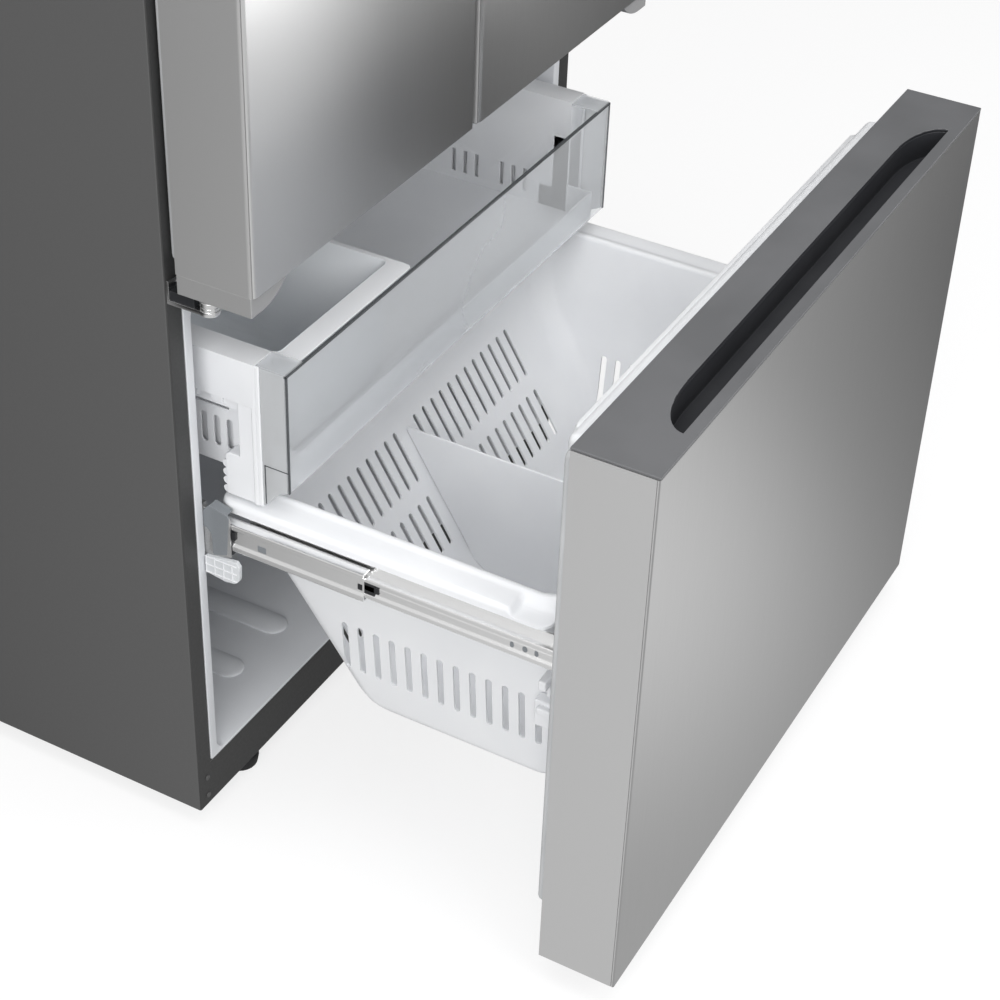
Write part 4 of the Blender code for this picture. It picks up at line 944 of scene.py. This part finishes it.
def make_basket():
    """The deep slotted basket with its broad rim and sloping back, its divider and its clips."""
    wall = 0.003
    rings = [basket_bottom_ring(step, 0.0) for step in range(11)]
    rings += [basket_ring(z) for z in (0.300, BACK_KINK, 0.440, 0.4470)]
    rings += [
        basket_ring(0.4475, out=0.85, radius=0.018, drop=0.009),
        basket_ring(0.4440, out=0.93, radius=0.016, drop=0.006),
        basket_ring(0.4365, out=0.94, radius=0.016),
        basket_ring(0.4365, out=1.0, radius=0.016),
    ]
    for angle, drop in ((0, 0.004), (25, 0.006), (50, 0.008), (75, 0.009), (90, 0.009)):
        turn = math.radians(angle)
        share = 1.0 - 0.16 * (1 - math.cos(turn))
        rings.append(basket_ring(0.4435 + 0.0068 * math.sin(turn), out=share, radius=0.017, drop=drop))
    rings += [
        basket_ring(0.4506, out=0.50, radius=0.022, drop=0.009),
        basket_ring(0.4507, out=0.30, radius=0.026, drop=0.006),
        basket_ring(0.4510, out=0.17, radius=0.028),
        basket_ring(0.4522, out=0.13, radius=0.030),
        basket_ring(BASKET_TOP, out=0.07, radius=0.030),
        basket_ring(0.4523, out=0.0, radius=0.030),
        basket_ring(0.4508, 0.0022),
    ]
    rings += [basket_ring(z, wall) for z in (0.4470, BACK_KINK, 0.300)]
    rings += [basket_bottom_ring(step, wall) for step in range(10, -1, -1)]
    mesh = Form().loft(rings).mesh()

    slots = Form()
    for number in range(13):
        middle = -0.135 - number * SLOT_PITCH - 0.00425
        outline = stadium(middle, 0.209, 0.284, 0.0085)
        for x0, x1 in ((-0.40, -0.30), (0.30, 0.40)):
            slots.prism(outline, "YZ", x0, x1)
    back_slots = Form()
    for column in range(12):
        for side in (-1, 1):
            middle = DIVIDER_X + side * (0.025 + column * SLOT_PITCH)
            for low in (0.205, 0.285):
                outline = stadium(middle, low, low + 0.062, 0.0072)
                y = back_wall_y(low + 0.031)
                back_slots.prism(outline, "XZ", y - 0.040, y + 0.040)
    shown("freezer_basket_look", carved(mesh, slots, back_slots), "freezer_basket", angle=42)
    floor_top = BASKET_LOW + 0.0034
    outline = [(BASKET_FRONT + 0.005, 0.345), (BASKET_FRONT + 0.008, 0.180), (-0.400, floor_top)]
    outline += [(back_wall_y(0.180) - 0.030, floor_top), (back_wall_y(0.180) - 0.006, 0.174)]
    outline += [(back_wall_y(z) - 0.0045, z) for z in (0.200, 0.340)]
    outline += [(back_wall_y(0.345) - 0.0080, 0.345)]
    divider = Form().prism(outline, "YZ", DIVIDER_X - 0.0016, DIVIDER_X + 0.0016)
    shown("basket_divider_look", divider, "basket_divider", edge=0.0012, segments=3)

    clips = Form()
    for side in SIDES.values():
        clips.side_block(side, (0.340, BASKET_FRONT - 0.001, 0.262), (0.3560, -0.402, 0.300))
        clips.side_block(side, (0.3440, BASKET_FRONT - 0.001, 0.286), (0.3640, -0.408, 0.296))
        clips.side_block(side, (0.352, BASKET_FRONT - 0.002, 0.352), (0.394, -0.424, 0.366))
        clips.side_block(side, (0.352, BASKET_FRONT - 0.002, 0.334), (0.380, -0.428, 0.354))
    extra("basket_clips", clips, "freezer_basket", edge=0.0025, segments=3)


RAIL_MID_Z = 0.4135


def make_slides(side_name, side):
    """The telescopic slide with its rolled members, front bracket, plug and clip."""
    rail, middle, inner = (f"slide_{part}_{side_name}" for part in ("rail", "middle", "inner"))

    def drawn(outline, y0, y1):
        return Form().prism([(side * x, RAIL_MID_Z + z) for x, z in outline], "XZ", y0, y1)

    refined(rail, 0.0004)
    bracket = Form()
    x0, x1 = mirrored(0.4096, 0.4122, side)
    outline = [(0.040, 0.4400), (0.003, 0.4400), (-0.0080, 0.4520), (-0.0320, 0.4460)]
    outline += [(-0.0346, 0.4425), (-0.0295, 0.3890), (-0.0270, 0.3875), (-0.0110, 0.3820)]
    outline += [(-0.0095, 0.3840), (-0.0096, 0.4060), (-0.0080, 0.4130), (-0.0030, 0.4180)]
    outline += [(0.003, 0.4200), (0.040, 0.4200)]
    bracket.prism(outline, "YZ", x0, x1)
    t0, t1 = mirrored(0.3980, 0.4110, side)
    top = [(-0.0080, 0.4520), (-0.0310, 0.4462), (-0.0310, 0.4445), (-0.0080, 0.4500)]
    bracket.prism(top, "YZ", t0, t1)
    extra("rail_bracket_" + side_name, bracket, rail, material=BRACKET_PAINT_AND_HOLE_SHADE, edge=0.0011, segments=3)
    plug = Form()
    plug.side_block(side, (0.3960, -0.0360, RAIL_MID_Z - 0.0240), (0.4094, -0.0290, RAIL_MID_Z + 0.0150))
    plug.side_block(side, (0.3960, -0.0400, RAIL_MID_Z - 0.0020), (0.4094, -0.0290, RAIL_MID_Z + 0.0090))
    extra("rail_plug_" + side_name, plug, rail, material=BLACK_PLASTIC_AND_PAINTED_SHADE, edge=0.0008)

    ridge, deep = 0.4092, 0.4066
    outline = [(0.3955, 0.0190)] + arc((ridge - 0.0022, 0.0168), 0.0022, 90, 0, 5)
    outline += [(ridge, 0.0128), (deep, 0.0094), (deep, -0.0078), (ridge, -0.0112)]
    outline += arc((ridge - 0.0022, -0.0168), 0.0022, 0, -90, 5) + [(0.3955, -0.0190)]
    outline += [(0.3955, -0.0176), (ridge - 0.0034, -0.0176), (ridge - 0.0016, -0.0158)]
    outline += [(ridge - 0.0016, -0.0118), (deep - 0.0014, -0.0084), (deep - 0.0014, 0.0100)]
    outline += [(ridge - 0.0016, 0.0134), (ridge - 0.0016, 0.0158), (ridge - 0.0034, 0.0176)]
    outline += [(0.3955, 0.0176)]
    low, high = span(middle)
    shown(middle + "_look", drawn(outline, low.y, high.y), middle, angle=28)
    # Flat marks on the middle member stand for its window and hole: painted shade, grey and black.
    marks = Form()
    m0, m1 = mirrored(deep - 0.0001, deep + 0.0002, side)
    marks.block((m0, -0.0800, RAIL_MID_Z - 0.0065), (m1, -0.0690, RAIL_MID_Z + 0.0020))
    extra("slide_window_painted_shade_" + side_name, marks, middle, material=BRACKET_PAINT_AND_HOLE_SHADE)
    marks = Form()
    marks.block((m0, -0.2080, RAIL_MID_Z - 0.0045), (m1, -0.2020, RAIL_MID_Z + 0.0035))
    extra("slide_hole_painted_shade_" + side_name, marks, middle, material=BLACK_PLASTIC_AND_PAINTED_SHADE)
    clip = Form()
    c0, c1 = mirrored(0.3970, 0.4062, side)
    clip.block((c0, -0.2240, RAIL_MID_Z - 0.0100), (c1, -0.2090, RAIL_MID_Z + 0.0090))
    clip.block((c0, -0.2290, RAIL_MID_Z - 0.0030), (c1, -0.2090, RAIL_MID_Z + 0.0060))
    extra("slide_clip_" + side_name, clip, middle, material=BLACK_PLASTIC_AND_PAINTED_SHADE, edge=0.0010)

    outline = [(0.4045, -0.0140), (0.4058, -0.0140), (0.4068, -0.0128), (0.4068, -0.0078)]
    outline += [(0.4044, -0.0048), (0.4044, -0.0006), (0.4049, 0.0002), (0.4049, 0.0044)]
    outline += [(0.4044, 0.0052), (0.4044, 0.0070), (0.4068, 0.0094), (0.4068, 0.0128)]
    outline += [(0.4058, 0.0140), (0.3940, 0.0140), (0.3925, 0.0155), (0.3925, 0.0230), (0.3905, 0.0230)]
    outline += [(0.3905, -0.0008), (0.4030, -0.0008)]
    outline += [(0.4030, -0.0140)]
    low, high = span(inner)
    shown(inner + "_look", drawn(outline, low.y, high.y), inner, angle=28)
    # Flat grey marks stand for the inner member's stamped holes: painted shade.
    stamps = Form()
    for place, wide in ((-0.396, 0.0045), (-0.412, 0.0060), (-0.426, 0.0045)):
        s0, s1 = mirrored(0.4040, 0.40505, side)
        stamps.prism(stadium(place, RAIL_MID_Z - 0.0040, RAIL_MID_Z + 0.0040, wide), "YZ", s0, s1)
    extra("slide_stamp_holes_painted_shade_" + side_name, stamps, inner, material=BRACKET_PAINT_AND_HOLE_SHADE)


def make_guides(side_name, side):
    """The frosted guide block under each slide's bracket, with its ribs."""
    block = Form()
    x0, x1 = mirrored(0.4097, 0.4160, side)
    outline = [(-0.0008, 0.3795), (-0.0008, 0.3560), (-0.028, 0.3520)]
    outline += arc((-0.036, 0.3650), 0.0120, 270, 190, 5) + [(-0.0485, 0.3800), (-0.044, 0.3860)]
    block.prism(outline, "YZ", x0, x1)
    extra("guide_block_" + side_name, block, "slide_rail_" + side_name, material=FROSTED, edge=0.001)
    ribs = Form()
    for place in (-0.002, -0.014, -0.026, -0.038):
        ribs.side_block(side, (0.4158, place - 0.0012, 0.356), (0.4168, place, 0.381))
    for height in (0.3575, 0.3680, 0.3790):
        ribs.side_block(side, (0.4158, -0.045, height), (0.4168, -0.001, height + 0.0014))
    white = MATERIALS["white_plastic"]
    extra("guide_ribs_" + side_name, ribs, "slide_rail_" + side_name, material=white, edge=0.0003)


# ---------------------------------------------------------------- freezer tray

TRAY_TOP, TRAY_RIM = 0.643, 0.3865
PANEL_HALF, PANEL_FRONT, PANEL_LOW, PANEL_TOP = 0.384, -0.099, 0.484, 0.6405
WING_BACK, BIN_FRONT = -0.0594, -0.0665


def make_tray():
    """The upper tray: outer walls with slots, corner posts, clear front with wings, and deep bin."""
    bin_low, bin_high = span("ice_bin")
    bin_low.y = BIN_FRONT
    room = Form().block(
        (bin_low.x - 0.0004, BIN_FRONT - 0.0004, bin_low.z), (bin_high.x + 0.0004, -0.0300, 0.70)
    )
    body = carved(node_mesh("tray_body"), room)
    shown("tray_body_look", body, "tray_body", edge=0.0016, segments=3)
    band, blocks, corners = Form(), Form(), Form()
    wings, edges, caps = Form(), Form(), Form()
    wall = 0.003
    for side in SIDES.values():
        band.side_block(side, (0.3540, -0.040, 0.5692), (0.3790, 0.352, 0.5868))
        band.side_block(side, (0.3540, -0.0400, 0.5530), (0.3664, -0.0085, 0.5700))
        for place in (-0.012, 0.022, 0.060, 0.130, 0.200, 0.270):
            band.side_block(side, (0.3780, place, 0.5740), (0.3815, place + 0.016, 0.5830))

        x0, x1 = mirrored(0.3520, TRAY_RIM - 0.0012, side)
        outline = [(-0.0590, 0.4552), (-0.0145, 0.4552), (-0.0145, 0.5090), (-0.0190, 0.5130)]
        outline += [(-0.0340, 0.5130), (-0.0340, 0.5900), (-0.0590, 0.5900)]
        corners.prism(outline, "YZ", x0, x1)
        for step in range(4):
            blocks.rod((side * 0.3690, -0.0150, 0.4610 + step * 0.0115), "X", 0.0052, 0.0300, 20)
        corners.side_block(
            side, (TRAY_RIM - 0.0030, -0.0646, 0.4552), (TRAY_RIM, -0.0585, TRAY_TOP - 0.0004)
        )

        x0, x1 = mirrored(PANEL_HALF - wall, PANEL_HALF, side)
        outline = [(-0.0640, PANEL_TOP), (PANEL_FRONT + wall, PANEL_TOP)]
        outline += [(PANEL_FRONT + wall, PANEL_LOW), (-0.0830, 0.4770), (-0.0665, 0.4560)]
        outline += [(-0.0640, 0.4560)]
        wings.prism(outline, "YZ", x0, x1)
        edges.block((x0, PANEL_FRONT - 0.0002, PANEL_LOW), (x1, PANEL_FRONT + 0.0014, PANEL_TOP))
        edges.side_block(
            side, (PANEL_HALF - 0.0004, -0.0682, 0.4600), (PANEL_HALF + 0.0004, -0.0668, 0.5130)
        )
        edges.side_block(
            side, (PANEL_HALF - 0.0004, PANEL_FRONT, 0.5118), (PANEL_HALF + 0.0004, -0.0668, 0.5130)
        )
        caps.side_block(
            side,
            (0.350, PANEL_FRONT + 0.001, PANEL_TOP - 0.0005),
            (PANEL_HALF, WING_BACK, PANEL_TOP + 0.0022),
        )
        caps.side_block(side, (0.372, -0.078, PANEL_TOP - 0.010), (PANEL_HALF - 0.002, -0.068, PANEL_TOP))
    edges.block(
        (-PANEL_HALF, PANEL_FRONT - 0.0003, PANEL_TOP - 0.0022),
        (PANEL_HALF, PANEL_FRONT + wall, PANEL_TOP + 0.0004),
    )
    for side_name, side in SIDES.items():
        walls, slots = Form(), Form()
        x0, x1 = mirrored(0.3640, 0.3665, side)
        walls.block((x0, -0.0420, 0.4790), (x1, 0.3520, 0.5552))
        for group in range(4):
            for step in (-1, 0, 1):
                place = 0.0088 + 0.0755 * group + 0.0176 * step
                slots.prism(stadium(place, 0.5010, 0.5420, 0.0082), "YZ", x0 - 0.004, x1 + 0.004)
        extra("tray_wall_" + side_name, carved(walls.mesh(), slots), "tray_body", edge=0.0006)
    extra("tray_band", band, "tray_body", edge=0.0008)
    extra("tray_corner_teeth", blocks, "tray_body")
    extra("tray_corners", corners, "tray_body", edge=0.0035, segments=4)
    front = Form().block(
        (-PANEL_HALF, PANEL_FRONT, PANEL_LOW), (PANEL_HALF, PANEL_FRONT + wall, PANEL_TOP)
    )
    shown("tray_front_look", front, "tray_front", edge=0.0006)
    extra("tray_wings", wings, "tray_front", material=CLEAR_WING, edge=0.0005)
    extra("tray_corner_caps", caps, "tray_front", edge=0.0005)
    # The clear front's edges carry the dark film: painted shade.
    extra("tray_front_edges", edges, "tray_front", material=CLEAR_EDGE_PAINTED_SHADE)

    low, high = bin_low, bin_high
    make_bin("ice_bin", low, high, 0.0025, 0.012, rim=0.0008, taper=0.006, material=BIN_GREY)
    rim = Form()
    outer = rounded(low.x - 0.001, high.x + 0.004, -0.0935, high.y, 0.008, 6)
    inner = rounded(low.x + 0.0030, high.x - 0.0030, low.y + 0.0028, high.y - 0.0030, 0.009, 6)
    heights = (PANEL_TOP - 0.0030, PANEL_TOP - 0.0005)
    rings = [
        [(x, y, heights[0]) for x, y in outer],
        [(x, y, heights[1]) for x, y in outer],
        [(x, y, heights[1]) for x, y in inner],
        [(x, y, heights[0]) for x, y in inner],
    ]
    rim.loft(rings, closed=True)
    extra("ice_bin_rim", rim, "ice_bin", edge=0.0008)


# ---------------------------------------------------------------- build

make_camera()
make_stage()
make_cabinet()
make_liners()
make_back()
make_foam()
for side_name, side in SIDES.items():
    make_door(side_name, side)
    make_hinges(side_name, side)
    make_slides(side_name, side)
    make_guides(side_name, side)
    low, high = span("crisper_" + side_name)
    make_bin("crisper_" + side_name, low, high, 0.0028, 0.030, rim=0.005)
make_drawer_front()
make_basket()
make_tray()
for node in sorted(set(frame["nodes"]) - DONE):
    refined(node)
